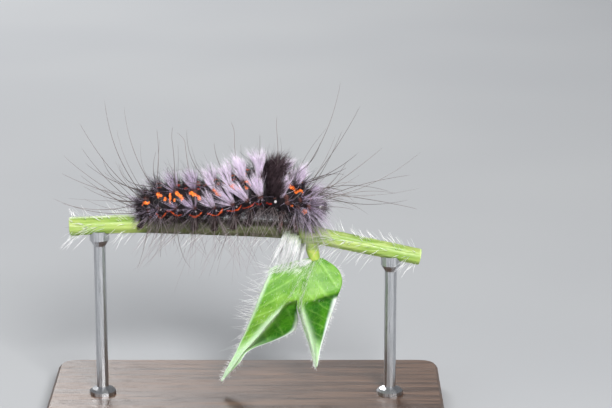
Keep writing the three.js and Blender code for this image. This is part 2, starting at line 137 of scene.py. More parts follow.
def body_dirs(x, phi):
    """Out of the skin, up towards the back, and forward, at a station and a number of degrees up from the right side."""
    f, r, u = body_frame(x)
    a = (np.asarray(phi, float) * DEG)[..., None]
    out = r * np.cos(a) + u * np.sin(a)
    turn = -r * np.sin(a) + u * np.cos(a)
    return out, turn * np.where(a > math.pi / 2, -1, 1), f


def body_point(x, phi, h=0.0):
    x = np.asarray(x, float)
    phi = np.asarray(phi, float)
    f, r, u = body_frame(x)
    a = phi * DEG
    flat = 1 - BODY["flat"] * np.maximum(0, -np.sin(a))
    out = r * np.cos(a)[..., None] + u * (np.sin(a) * flat)[..., None]
    return body_axis(x) + out * (skin_r(x) + h)[..., None]


def body_coords(p):
    """The station, the angle and the distance from the body's line of points."""
    x = np.clip(p[:, 0], BODY["tail"] - 3, NECK + 3)
    for _ in range(6):
        f, _, _ = body_frame(x)
        x = x + np.clip(np.einsum("ij,ij->i", p - body_axis(x), f), -1, 1) * 0.9
        x = np.clip(x, BODY["tail"] - 4, NECK + 4)
    f, r, u = body_frame(x)
    d = p - body_axis(x)
    a, b = np.einsum("ij,ij->i", d, r), np.einsum("ij,ij->i", d, u)
    phi = np.degrees(np.arctan2(b, a))
    return x, np.where(phi < -90, phi + 360, phi), np.hypot(a, b)


def waves(p, size, count=14, seed=1):
    """Soft irregular noise from a few crossing waves, about -1 to 1."""
    g = np.random.default_rng(seed)
    k = unit(g.normal(size=(count, 3))) * (2 * math.pi / size) * g.uniform(0.6, 1.5, (count, 1))
    return np.sin(p @ k.T + g.uniform(0, 6.28, count)).sum(-1) / math.sqrt(count)


def curve_through(xs, ys, q):
    """A smooth curve through a few rows."""
    xs, ys, q = np.asarray(xs, float), np.asarray(ys, float), np.asarray(q, float)
    m = np.gradient(ys, xs)
    i = np.clip(np.searchsorted(xs, q, side="right") - 1, 0, len(xs) - 2)
    h = xs[i + 1] - xs[i]
    t = np.clip((q - xs[i]) / h, 0, 1)
    return ((2 * t ** 3 - 3 * t ** 2 + 1) * ys[i] + (t ** 3 - 2 * t ** 2 + t) * h * m[i]
            + (-2 * t ** 3 + 3 * t ** 2) * ys[i + 1] + (t ** 3 - t ** 2) * h * m[i + 1])


# ------------------------------------------------------------------ mesh making
def mesh_from(name, co, faces, sizes=None, uv=None, attrs=None, smooth_shade=True):
    """co in mm; faces is one flat run of vertex numbers, sizes the corners of each face."""
    me = bpy.data.meshes.new(name)
    co = np.asarray(co, float) * MM
    me.vertices.add(len(co))
    me.vertices.foreach_set("co", co.astype(np.float32).ravel())
    faces = np.asarray(faces, np.int32).ravel()
    me.loops.add(len(faces))
    me.loops.foreach_set("vertex_index", faces)
    sizes = np.asarray(sizes, np.int32)
    me.polygons.add(len(sizes))
    me.polygons.foreach_set("loop_start", np.concatenate([[0], np.cumsum(sizes)[:-1]]).astype(np.int32))
    if smooth_shade:
        me.polygons.foreach_set("use_smooth", np.ones(len(sizes), bool))
    me.update(calc_edges=True)
    me.validate()
    if uv is not None:
        layer = me.uv_layers.new(name="OFBake")
        layer.data.foreach_set("uv", np.asarray(uv, np.float32).ravel())
    for key, values in (attrs or {}).items():
        a = me.attributes.new(key, "FLOAT", "POINT")
        a.data.foreach_set("value", np.asarray(values, np.float32))
    return me


def piece(name, me, material, replaces=(), body="root"):
    ob = bpy.data.objects.new(name, me)
    bpy.context.scene.collection.objects.link(ob)
    if material is not None:
        me.materials.clear()
        me.materials.append(material)
    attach(ob, body)
    if replaces:
        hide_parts(*replaces)
    return ob


def quad_grid(rows, cols, wrap):
    """Faces of a grid of rows x cols points, closed round its columns if wrap."""
    c = np.arange(cols if wrap else cols - 1)
    r = np.arange(rows - 1)[:, None]
    a = r * cols + c
    b = r * cols + (c + 1) % cols
    return np.stack([a, b, b + cols, a + cols], -1).reshape(-1, 4)


def tube(points, radii, sides, ref=(1, 0, 0), flatten=1.0, caps=True):
    """A lofted tube along points (mm). Returns points and faces (list)."""
    p = np.asarray(points, float)
    t = unit(np.gradient(p, axis=0))
    a = unit(np.cross(t, np.asarray(ref, float)))
    b = np.cross(a, t)
    w = np.arange(sides) / sides * 2 * math.pi
    r = np.asarray(radii, float)[:, None, None]
    ring = p[:, None] + (a[:, None] * np.cos(w)[None, :, None] * flatten + b[:, None] * np.sin(w)[None, :, None]) * r
    co = ring.reshape(-1, 3)
    faces = quad_grid(len(p), sides, True).tolist()
    if caps:
        co = np.vstack([co, p[0], p[-1]])
        s, e, last = len(co) - 2, len(co) - 1, (len(p) - 1) * sides
        faces += [[s, (j + 1) % sides, j] for j in range(sides)]
        faces += [[e, last + j, last + (j + 1) % sides] for j in range(sides)]
    return co, faces


def spline(points, n):
    """A smooth line through points, evenly stepped."""
    p = np.asarray(points, float)
    d = np.concatenate([[0], np.cumsum(np.linalg.norm(np.diff(p, axis=0), axis=1))])
    q = np.linspace(0, d[-1], n)
    return np.stack([curve_through(d, p[:, k], q) for k in range(3)], -1)


def joined(parts):
    co, flat, sizes, at = [], [], [], 0
    for c, f in parts:
        co.append(c)
        for g in f:
            flat.extend(int(v) + at for v in g)
            sizes.append(len(g))
        at += len(c)
    return np.vstack(co), flat, sizes


def remeshed(name, parts, voxel, smooth_steps=2):
    """The parts melted into one skin. Works at 1 unit to the mm, and returns points in mm and faces."""
    co, flat, sizes = joined(parts)
    me = mesh_from(name + "_raw", co / MM, flat, sizes)
    ob = bpy.data.objects.new(name + "_raw", me)
    bpy.context.scene.collection.objects.link(ob)
    m = ob.modifiers.new("melt", "REMESH")
    m.mode = "VOXEL"
    m.voxel_size = voxel
    m.adaptivity = 0
    s = ob.modifiers.new("soften", "SMOOTH")
    s.factor = 0.5
    s.iterations = smooth_steps
    dg = bpy.context.evaluated_depsgraph_get()
    out = bpy.data.meshes.new_from_object(ob.evaluated_get(dg))
    bpy.data.objects.remove(ob)
    bpy.data.meshes.remove(me)
    co = np.zeros(len(out.vertices) * 3, np.float32)
    out.vertices.foreach_get("co", co)
    flat = np.zeros(len(out.loops), np.int32)
    out.loops.foreach_get("vertex_index", flat)
    total = np.zeros(len(out.polygons), np.int32)
    out.polygons.foreach_get("loop_total", total)
    bpy.data.meshes.remove(out)
    return co.reshape(-1, 3).astype(float), flat, total


# ------------------------------------------------------------------ materials
class Nodes:
    """A short way to write node materials."""

    def __init__(self, name):
        self.material = bpy.data.materials.new(name)
        self.material.use_nodes = True
        self.tree = self.material.node_tree
        self.shader = next(n for n in self.tree.nodes if n.type == "BSDF_PRINCIPLED")

    def new(self, kind, **values):
        n = self.tree.nodes.new(kind)
        for k, v in values.items():
            setattr(n, k, v)
        return n

    def link(self, a, b):
        self.tree.links.new(a, b)

    def put(self, socket, value):
        if hasattr(value, "is_linked") or hasattr(value, "links"):
            self.link(value, socket)
        else:
            socket.default_value = value

    def attr(self, name):
        return self.new("ShaderNodeAttribute", attribute_name=name).outputs["Fac"]

    def where(self):
        return self.new("ShaderNodeTexCoord").outputs["Object"]

    def noise(self, scale, detail=3.0, rough=0.55, vector=None, out="Fac", distortion=0.0):
        n = self.new("ShaderNodeTexNoise")
        n.inputs["Scale"].default_value = scale
        n.inputs["Detail"].default_value = detail
        n.inputs["Roughness"].default_value = rough
        n.inputs["Distortion"].default_value = distortion
        self.link(vector if vector is not None else self.where(), n.inputs["Vector"])
        return n.outputs[out]

    def voronoi(self, scale, vector=None, feature="F1", out="Distance"):
        n = self.new("ShaderNodeTexVoronoi", feature=feature)
        n.inputs["Scale"].default_value = scale
        self.link(vector if vector is not None else self.where(), n.inputs["Vector"])
        return n.outputs[out]

    def math(self, op, a, b=0.0, clamp=False):
        n = self.new("ShaderNodeMath", operation=op, use_clamp=clamp)
        self.put(n.inputs[0], a)
        self.put(n.inputs[1], b)
        return n.outputs[0]

    def range(self, value, a, b, c=0.0, d=1.0, kind="SMOOTHSTEP"):
        n = self.new("ShaderNodeMapRange", interpolation_type=kind, clamp=True)
        self.put(n.inputs["Value"], value)
        for key, v in (("From Min", a), ("From Max", b), ("To Min", c), ("To Max", d)):
            self.put(n.inputs[key], v)
        return n.outputs["Result"]

    def mix(self, fac, a, b, blend="MIX"):
        n = self.new("ShaderNodeMix", data_type="RGBA", blend_type=blend)
        self.put(n.inputs[0], fac)
        for k, v in ((6, a), (7, b)):
            self.put(n.inputs[k], (*v, 1.0) if isinstance(v, tuple) and len(v) == 3 else v)
        return n.outputs[2]

    def bump(self, height, strength, distance=0.0001, normal=None):
        n = self.new("ShaderNodeBump")
        n.inputs["Strength"].default_value = strength
        n.inputs["Distance"].default_value = distance
        self.link(height, n.inputs["Height"])
        if normal is not None:
            self.link(normal, n.inputs["Normal"])
        return n.outputs["Normal"]

    def set(self, **values):
        for k, v in values.items():
            self.put(self.shader.inputs[k.replace("_", " ")], v)
        return self


def hair_material(name, root, tip, dark, rough=0.5, sheen=0.0, spec=0.4, glow=0.0, fade=(0.0, 0.75), mixed=(0.0, 1.0, 0.0, 0.7)):
    """Hair with a darker root, a paler tip and a little difference from hair to hair."""
    m = Nodes(name)
    along, tone = m.attr("along"), m.attr("tone")
    colour = m.mix(m.range(along, *fade), root, tip)
    streak = m.noise(2600.0, 2.0)
    colour = m.mix(m.range(tone, *mixed), colour, dark)
    colour = m.mix(m.range(streak, 0.35, 0.7, 0.0, 0.22), colour, tuple(min(1.0, c * 1.25 + 0.01) for c in tip))
    m.set(Base_Color=colour, Roughness=m.range(streak, 0.3, 0.7, rough - 0.08, rough + 0.1))
    m.shader.inputs["Specular IOR Level"].default_value = spec
    if sheen:
        m.shader.inputs["Sheen Weight"].default_value = sheen
    if glow:
        m.shader.inputs["Subsurface Weight"].default_value = glow
        m.shader.inputs["Subsurface Radius"].default_value = (0.00012, 0.00012, 0.00012)
        m.shader.inputs["Subsurface Scale"].default_value = 1.0
    return m.material


# ------------------------------------------------------------------ hair
def push_out(c, stem_gap=0.03, skin_gap=0.0):
    """Keeps hair out of the stem past its root, but not out of the skin. c is hairs x points x 3."""
    n, k, _ = c.shape
    p = c.reshape(-1, 3).copy()
    inside = (p[:, 0] > STEM["x0"] - 0.2) & (p[:, 0] < STEM["x1"] + 0.2)
    d = p - stem_axis(p[:, 0])
    r = np.hypot(d[:, 1], d[:, 2])
    need = stem_r(p[:, 0]) + stem_gap
    low = inside & (r < need) & (np.tile(np.arange(k), n) > 0)
    scale = np.where(low, need / np.maximum(r, 1e-3), 1.0)
    p[:, 1:] = stem_axis(p[:, 0])[:, 1:] + d[:, 1:] * scale[:, None]
    return p.reshape(n, k, 3)


class Coat:
    """Hairs as thin closed three-sided tubes, with fine side barbs on plumes, gathered into one piece. Each tuft has a
    small patch of the bake map at its root's place on an unwrap of the skin."""
    PATCH = 0.003

    def __init__(self):
        self.co, self.loops, self.sizes, self.uv, self.along, self.tone, self.count = [], [], [], [], [], [], 0

    def _keep(self, co, quads, tris, uv_of, along, tone):
        loops = np.concatenate([quads.ravel(), tris.ravel()]) + self.count
        self.loops.append(loops)
        self.sizes.append(np.concatenate([np.full(len(quads), 4), np.full(len(tris), 3)]))
        self.uv.append(uv_of[loops - self.count])
        self.co.append(co)
        self.along.append(along)
        self.tone.append(tone)
        self.count += len(co)

    def hairs(self, root, way, length, bend, r0, uv, tone=None, rings=5, tip=0.25, power=1.3, wave=0.0, barbs=0,
              barb=0.18, barb_r=0.008, gap=0.03, bulge=0.0):
        n = len(root)
        if not n:
            return self
        tone = rng.random(n) if tone is None else tone
        t = np.linspace(0, 1, rings + 1)
        length = np.broadcast_to(length, n)
        c = (root[:, None] + way[:, None] * (length[:, None] * t)[..., None]
             + bend[:, None] * (length[:, None] * t ** 2)[..., None])
        side = unit(np.cross(way, unit(rng.normal(size=(n, 3)))))
        other = unit(np.cross(way, side))
        if wave:
            turn = rng.uniform(0, 6.28, n)[:, None] + t * rng.uniform(2, 5, n)[:, None]
            c += (side[:, None] * np.sin(turn)[..., None] + other[:, None] * np.cos(turn)[..., None]) * (
                length[:, None] * t * wave)[..., None]
        c = push_out(c, gap)
        self._tubes(c, side, other, np.broadcast_to(r0, n), uv, tone, t, tip, power, bulge)
        if barbs:
            self._barbs(c, side, other, length, uv, tone, t, barbs, barb, barb_r)
        return self

    def strands(self, c, r0, uv, tone=None, tip=0.25, power=1.3, barbs=0, barb=0.18, barb_r=0.008, gap=0.03, bulge=0.0):
        """Hairs whose lines are given: c is hairs x points x 3."""
        n, k, _ = c.shape
        tone = rng.random(n) if tone is None else tone
        way = unit(c[:, 1] - c[:, 0])
        side = unit(np.cross(way, unit(rng.normal(size=(n, 3)))))
        other = unit(np.cross(way, side))
        t = np.linspace(0, 1, k)
        c = push_out(c, gap)
        self._tubes(c, side, other, np.broadcast_to(r0, n), uv, tone, t, tip, power, bulge)
        if barbs:
            self._barbs(c, side, other, None, uv, tone, t, barbs, barb, barb_r)
        return self

    def _tubes(self, c, side, other, r0, uv, tone, t, tip, power, bulge):
        n, k = c.shape[0], c.shape[1] - 1
        prof = tip + (1 - tip) * (1 - t[:k] ** power) + bulge * np.sin(t[:k] * math.pi)
        w = np.arange(3) / 3 * 2 * math.pi
        off = side[:, None, None] * np.cos(w)[None, None, :, None] + other[:, None, None] * np.sin(w)[None, None, :, None]
        ring = c[:, :k, None] + off * (r0[:, None] * prof)[..., None, None]
        co = np.concatenate([ring.reshape(n, -1, 3), c[:, -1:]], 1)
        m = 3 * k + 1
        a = np.arange(k - 1)[:, None] * 3 + np.arange(3)
        b = np.arange(k - 1)[:, None] * 3 + (np.arange(3) + 1) % 3
        q = np.stack([a, b, b + 3, a + 3], -1).reshape(-1, 4)
        l = 3 * (k - 1)
        tr = np.array([[l, l + 1, m - 1], [l + 1, l + 2, m - 1], [l + 2, l, m - 1], [2, 1, 0]])
        base = np.arange(n)[:, None, None] * m
        along = np.concatenate([np.repeat(t[:k], 3), [1.0]])
        du = np.concatenate([np.tile([0.15, 0.5, 0.85], k), [0.5]])
        patch = np.stack([du - 0.5, along - 0.5], -1) * self.PATCH
        self._keep(co.reshape(-1, 3), (q + base).reshape(-1, 4), (tr + base).reshape(-1, 3),
                   (uv[:, None] + patch).reshape(-1, 2), np.tile(along, n), np.repeat(tone, m))

    def _barbs(self, c, side, other, length, uv, tone, t, count, size, radius):
        n, k = c.shape[0], c.shape[1] - 1
        s = (np.arange(count) + rng.random((n, count))) / count * 0.9 + 0.1
        seg = np.clip((s * k).astype(int), 0, k - 1)
        fr = s * k - seg
        rows = np.arange(n)[:, None]
        p = c[rows, seg] * (1 - fr)[..., None] + c[rows, seg + 1] * fr[..., None]
        tangent = unit(c[rows, seg + 1] - c[rows, seg])
        w = rng.uniform(0, 6.28, (n, count))
        radial = unit(side[:, None] * np.cos(w)[..., None] + other[:, None] * np.sin(w)[..., None])
        lean = rng.uniform(28, 46, (n, count)) * DEG
        span = size * (0.35 + 0.65 * np.sin(np.clip(s, 0, 1) * math.pi) ** 0.6) * rng.uniform(0.75, 1.2, (n, count))
        apex = p + (tangent * np.cos(lean)[..., None] + radial * np.sin(lean)[..., None]) * span[..., None]
        binormal = unit(np.cross(tangent, radial))
        corners = np.stack([p + binormal * radius, p - binormal * radius * 0.5 + tangent * radius,
                            p - binormal * radius * 0.5 - tangent * radius, apex], 2)
        m = n * count
        co = corners.reshape(-1, 3)
        tr = np.array([[0, 1, 3], [1, 2, 3], [2, 0, 3], [2, 1, 0]])
        tris = (tr + np.arange(m)[:, None, None] * 4).reshape(-1, 3)
        along = np.repeat(s.ravel(), 4)
        patch = np.stack([np.tile([0.4, 0.5, 0.6, 0.5], m) - 0.5, along - 0.5], -1) * self.PATCH
        self._keep(co, np.zeros((0, 4), int), tris, np.repeat(np.repeat(uv, count, 0), 4, 0) + patch, along,
                   np.repeat(np.repeat(tone, count), 4))

    def triangles(self):
        return int(sum((s - 2).sum() for s in self.sizes))

    def make(self, name, material, slot):
        me = mesh_from(name, np.concatenate(self.co), np.concatenate(self.loops), np.concatenate(self.sizes),
                       uv=np.concatenate(self.uv), attrs={"along": np.concatenate(self.along),
                                                          "tone": np.concatenate(self.tone)})
        print("coat", name, self.triangles())
        return piece(name, me, material)


def skin_map(x, phi):
    """Where a place on the body lies on the unwrap of the skin: along the body, and once round it."""
    return np.stack([0.02 + 0.96 * (np.asarray(x) - BODY["tail"] + 0.5) / (NECK - BODY["tail"] + 1.0),
                     0.02 + 0.96 * ((np.asarray(phi) + 90) % 360) / 360], -1)


def tuft(coat, x, phi, count, length, way, spread=0.2, patch=0.26, r0=0.018, droop=0.0, vary=0.15, lift=0.0, gather=0.0,
         wisps=0, clump=0.7, **more):
    """One tuft: hairs from a round wart at (x, phi), leaning by way = (out, up the side, forward). They part by spread, come
    together again towards the tips by gather, and hang together in a few wisps."""
    patch = patch if isinstance(patch, tuple) else (patch, patch)
    a = rng.uniform(0, 6.28, count)
    q = np.sqrt(rng.random(count))
    dx, ds = np.cos(a) * q, np.sin(a) * q
    hx = np.clip(x + dx * patch[0], BODY["tail"] + 0.05, NECK - 0.1)
    hp = phi + np.degrees(ds * patch[1] / skin_r(hx))
    out, up, fwd = body_dirs(hx, hp)
    mirror = -1 if phi > 90 else 1
    root = body_point(hx, hp, lift - 0.04)
    way = np.asarray(way, float)
    ox, oy, scale = dx + rng.normal(0, 0.35, count), ds * mirror + rng.normal(0, 0.35, count), np.ones(count)
    if wisps:
        k = rng.integers(0, wisps, count)
        wa, wq = rng.uniform(0, 6.28, wisps), np.sqrt(rng.random(wisps)) * 1.15
        ox = ox * (1 - clump) + clump * (np.cos(wa) * wq)[k]
        oy = oy * (1 - clump) + clump * (np.sin(wa) * wq)[k]
        scale = rng.uniform(0.80, 1.12, wisps)[k]
    d = unit(out * way[0] + up * way[1] + fwd * way[2] + fwd * (ox * spread)[:, None] + up * (oy * spread)[:, None])
    bend = np.zeros((count, 3))
    bend[:, 2] = -droop
    bend += up * (0.10 * way[1]) + fwd * (0.06 * np.sign(way[2]))
    bend -= (fwd * ox[:, None] + up * oy[:, None]) * (spread * gather)
    bend += rng.normal(0, 0.05, (count, 3))
    size = length * (1 + rng.normal(0, vary, count)) * (1 - 0.18 * q) * scale
    coat.hairs(root, d, np.clip(size, length * 0.35, length * 1.35), bend, r0 * rng.uniform(0.85, 1.15, count),
               skin_map(hx, hp), **more)


def locks(coat, x, phi, count, length, way, spread=0.35, patch=0.28, wisps=9, tight=0.5, r0=0.017, rings=6, vary=0.16,
          droop=0.0, stray=0.1, uneven=(0.74, 1.12), fan=1.0, wave=0.03, bow=0.10, lift=0.0, **more):
    """A tuft of pointed locks from a round wart at (x, phi). Each lock has its own lean, length and tone, and its hairs run
    together towards its point; a few stray hairs stand off."""
    patch = patch if isinstance(patch, tuple) else (patch, patch)
    mirror = -1 if phi > 90 else 1
    wa = rng.uniform(0, 6.28) + np.arange(wisps) * 2.399
    wq = np.sqrt((np.arange(wisps) + 0.5) / wisps)
    wx, wy = np.cos(wa) * wq, np.sin(wa) * wq
    wl, wt = rng.uniform(*uneven, wisps) * (1 - 0.10 * wq), rng.random(wisps)
    k = rng.integers(0, wisps, count)
    ja, jq = rng.uniform(0, 6.28, count), np.sqrt(rng.random(count))
    dx, ds = wx[k] * 0.72 + 0.40 * np.cos(ja) * jq, wy[k] * 0.72 + 0.40 * np.sin(ja) * jq
    hx = np.clip(x + dx * patch[0], BODY["tail"] + 0.05, NECK - 0.1)
    hp = phi + np.degrees(ds * mirror * patch[1] / skin_r(hx))
    root = body_point(hx, hp, lift - 0.04)
    cx = np.clip(x + wx * 0.72 * patch[0], BODY["tail"] + 0.05, NECK - 0.1)
    cp = phi + np.degrees(wy * 0.72 * mirror * patch[1] / skin_r(cx))
    centre = body_point(cx, cp, lift - 0.04)[k]
    out, up, fwd = body_dirs(np.full(wisps, float(x)), np.full(wisps, float(phi)))
    nx, ny = wx * fan + rng.normal(0, 0.22, wisps), wy * fan + rng.normal(0, 0.22, wisps)
    lean = unit(out * way[0] + up * way[1] + fwd * way[2] + fwd * (nx * spread)[:, None] + up * (ny * spread)[:, None])[k]
    loose = rng.random(count) < stray
    lean = unit(lean + rng.normal(0, 1, (count, 3)) * np.where(loose, 0.20, 0.035)[:, None])
    size = length * wl[k] * np.clip(1 + rng.normal(0, vary, count), 0.45, 1.12) * np.where(loose, rng.uniform(0.8, 1.2, count), 1)
    t = np.linspace(0, 1, rings + 1)
    pull = (np.where(loose, 0.0, tight)[:, None] * t * (2 - t))[..., None]
    radial = root - centre
    bend = up[0] * (bow * way[1]) + fwd[0] * (0.6 * bow * np.sign(way[2])) + np.array([0, 0, -droop]) + rng.normal(0, 0.045, (count, 3))
    c = (root[:, None] + lean[:, None] * (size[:, None] * t)[..., None] - radial[:, None] * pull
         + radial[:, None] * (0.55 * np.sin(math.pi * t) ** 2)[None, :, None]
         + bend[:, None] * (size[:, None] * t ** 2)[..., None])
    ripple = rng.normal(0, 1, (count, 3))
    c = c + ripple[:, None] * (np.sin(rng.uniform(0, 6.28, count)[:, None] + t * 4.0) * t * size[:, None] * wave)[..., None]
    tone = np.clip(0.62 * wt[k] + 0.5 * rng.random(count) - 0.06, 0, 1)
    coat.strands(c, r0 * rng.uniform(0.82, 1.18, count), skin_map(hx, hp), tone=tone, **more)


def both(coat, x, phi, *args, make=tuft, **kw):
    """The same tuft on the right side and on the left."""
    make(coat, x, phi, *args, **kw)
    make(coat, x, 180 - phi, *args, **kw)


def at(name, share=0.5):
    i = NAMES.index(name)
    return float(EDGE[i] + LENGTH[i] * share)


# ------------------------------------------------------------------ the skin
# Warts that the tufts grow from: ring, degrees up from the side, radius, height
WARTS = []
for n in NAMES[1:]:
    WARTS += [(at(n), 64, 0.42, 0.17), (at(n), 12, 0.36 if n != "A1" else 0.20, 0.13), (at(n), -33, 0.40, 0.16), (at(n), -56, 0.26, 0.08)]
    if n[0] == "A":
        WARTS.append((at(n, 0.2), 82, 0.2, 0.07))
WARTS += [(at("T1", 0.5), 30, 0.4, 0.16), (at("T2", 0.5), 38, 0.35, 0.14), (at("T3", 0.3), 26, 0.36, 0.14)]

# Markings, each a rounded stroke between two places (station, degrees) with a half width in mm
ORANGE = [(-10.5, 60, -10.25, 54, 0.24), (-9.65, 43, -9.55, 39, 0.18), (-9.09, 63, -9.12, 27, 0.065),
          (-8.63, 38, -8.6, 33, 0.10), (-8.28, 56, -7.58, 40, 0.205), (-6.68, 58, -5.5, 40, 0.195),
          (-3.77, 65, -2.8, 48, 0.22), (-0.99, 67, -0.2, 47, 0.26), (0.88, 63, 1.1, 52, 0.13), (0.6, 49, 0.75, 44, 0.14),
          (4.95, 59, 5.5, 58, 0.22), (5.6, 58, 5.95, 61, 0.27), (6.0, 61, 6.5, 66, 0.20), (-12.3, 46, -11.65, 40, 0.12),
          (7.35, 1, 7.42, 3, 0.32), (5.82, 7, 5.86, 6, 0.15)]
RED = [[(-10.95, -10), (-10.75, -24), (-10.4, -30), (-9.95, -20), (-9.5, -5)],
       [(-9.2, -2), (-8.7, -16), (-8.3, -22), (-7.75, -19)], [(-6.8, -19), (-6.3, -25), (-5.8, -24), (-5.35, -11)],
       [(-4.5, -12), (-3.9, -19), (-3.3, -20), (-2.95, -10), (-2.7, 1)],
       [(-2.1, -7), (-1.5, -12), (-0.8, -11), (-0.45, -3)], [(-0.25, -14), (0.2, -13), (0.75, -13), (1.1, -9)],
       [(1.3, -8), (1.8, -15), (2.1, -10)], [(2.85, -13), (3.2, -14), (3.5, -10)]]
MIDLINE = [(-8.4, 91, -8.0, 89, 0.11), (-7.3, 78, -7.1, 76, 0.10), (-6.1, 91, -5.5, 90, 0.13), (-5.8, 72, -5.6, 70, 0.09),
           (-5.0, 89, -4.7, 88, 0.10), (-3.2, 86, -2.9, 85, 0.10), (-2.4, 85, -2.2, 85, 0.10), (-10.6, 90, -10.2, 90, 0.1),
           (-0.9, 88, -0.6, 88, 0.09), (0.4, 88, 0.7, 88, 0.08)]
SPIRACLES = [(3.85, 2, 0.15, 0.23), (2.22, 2, 0.10, 0.15), (0.76, 1, 0.10, 0.15), (-0.92, 1, 0.11, 0.16),
             (-3.43, 0, 0.12, 0.17), (-6.0, -4, 0.12, 0.17), (-8.19, 2, 0.12, 0.17), (-10.31, 7, 0.11, 0.16),
             (7.05, 13, 0.09, 0.15)]


def stroke(x, phi, r, a):
    """Distance in mm from points on the skin to a stroke between two places on it."""
    ax, ap, bx, bp, w = a
    k = r * DEG
    px, ps = x - ax, (phi - ap) * k
    vx, vs = bx - ax, (bp - ap) * k
    t = np.clip((px * vx + ps * vs) / np.maximum(vx * vx + vs * vs, 1e-6), 0, 1)
    return np.hypot(px - t * vx, ps - t * vs) - w


def marks(x, phi, r):
    """How far each point of the skin is from each kind of marking. The left side mirrors the right."""
    side = np.where(phi > 90, 180 - phi, phi)
    orange = np.full(len(x), 2.0)
    for a in ORANGE:
        orange = np.minimum(orange, stroke(x, side, r, a))
    red = np.full(len(x), 2.0)
    for line in RED:
        for (ax, ap), (bx, bp) in zip(line, line[1:]):
            red = np.minimum(red, stroke(x, side, r, (ax, ap, bx, bp, 0.10)))
    mid = np.full(len(x), 2.0)
    for a in MIDLINE:
        mid = np.minimum(mid, stroke(x, side, r, a))
    spiracle = np.full(len(x), 2.0)
    for sx, sp, w, h in SPIRACLES:
        spiracle = np.minimum(spiracle, np.hypot((x - sx) / w, (side - sp) * r * DEG / h) - 1)
    wart = np.full(len(x), 2.0)
    for wx, wp, wr, _ in WARTS:
        wart = np.minimum(wart, np.hypot(x - wx, (side - wp) * r * DEG) / wr)
    flatmap = np.stack([x, phi * r * DEG, 0 * x], -1)
    ragged = 0.075 * waves(flatmap, 0.55, seed=11) + 0.045 * waves(flatmap, 0.24, seed=12)
    return orange + ragged, red + 0.45 * ragged, mid + 0.8 * ragged, spiracle, wart


def relief(x, phi, r):
    """The skin's own folds and warts, in mm out from its plain round."""
    i, t = ring_of(x)
    side = np.where(phi > 90, 180 - phi, phi)
    edge = np.minimum(t, 1 - t) * LENGTH[i]
    trunk = smooth(BODY["tail"] + 0.3, BODY["tail"] + 1.0, x) * smooth(NECK - 0.05, NECK - 0.5, x)
    h = -0.13 * bump(edge, 0.13)
    abdomen = (i > 0) & (i < 10)
    h -= np.where(abdomen, 0.05 * bump((t - 0.26) * LENGTH[i], 0.09) + 0.04 * bump((t - 0.78) * LENGTH[i], 0.08), 0)
    h += 0.10 * bump(side + 27 + 7 * np.cos((t - 0.5) * 2 * math.pi), 12) * np.sin(math.pi * t) ** 0.5
    h -= 0.05 * bump(side + 8, 5)
    for wx, wp, wr, wh in WARTS:
        d = np.hypot(x - wx, (side - wp) * r * DEG) / wr
        h += wh * np.exp(-d ** 4)
    for sx, sp, w, hh in SPIRACLES:
        d = np.hypot((x - sx) / w, (side - sp) * r * DEG / hh)
        h += 0.035 * bump(d - 1.05, 0.35) - 0.02 * bump(d, 0.6)
    for a in ORANGE:
        h += 0.035 * smooth(0.06, -0.06, stroke(x, side, r, a))
    return h * trunk


def on_stem(x, angle, side, off):
    c = stem_axis(x)
    r = float(stem_r(x)) + off
    return c + UP * math.cos(angle * DEG) * r + RIGHT * side * math.sin(angle * DEG) * r


def on_body(x, angle, side, off):
    return body_point(np.array([x]), np.array([angle if side > 0 else 180.0 - angle]), np.array([off]))[0]


PROLEGS = [("A3", 34, 0.42, False), ("A4", 52, 0.05, False), ("A5", 66, 0.0, False), ("A6", 68, 0.0, False),
           ("A10", 70, 0.0, True)]
LEGS = [("T1", 0.75, 40, 0.45), ("T2", 0.1, 62, 0.5), ("T3", -0.85, 74, 0.55)]


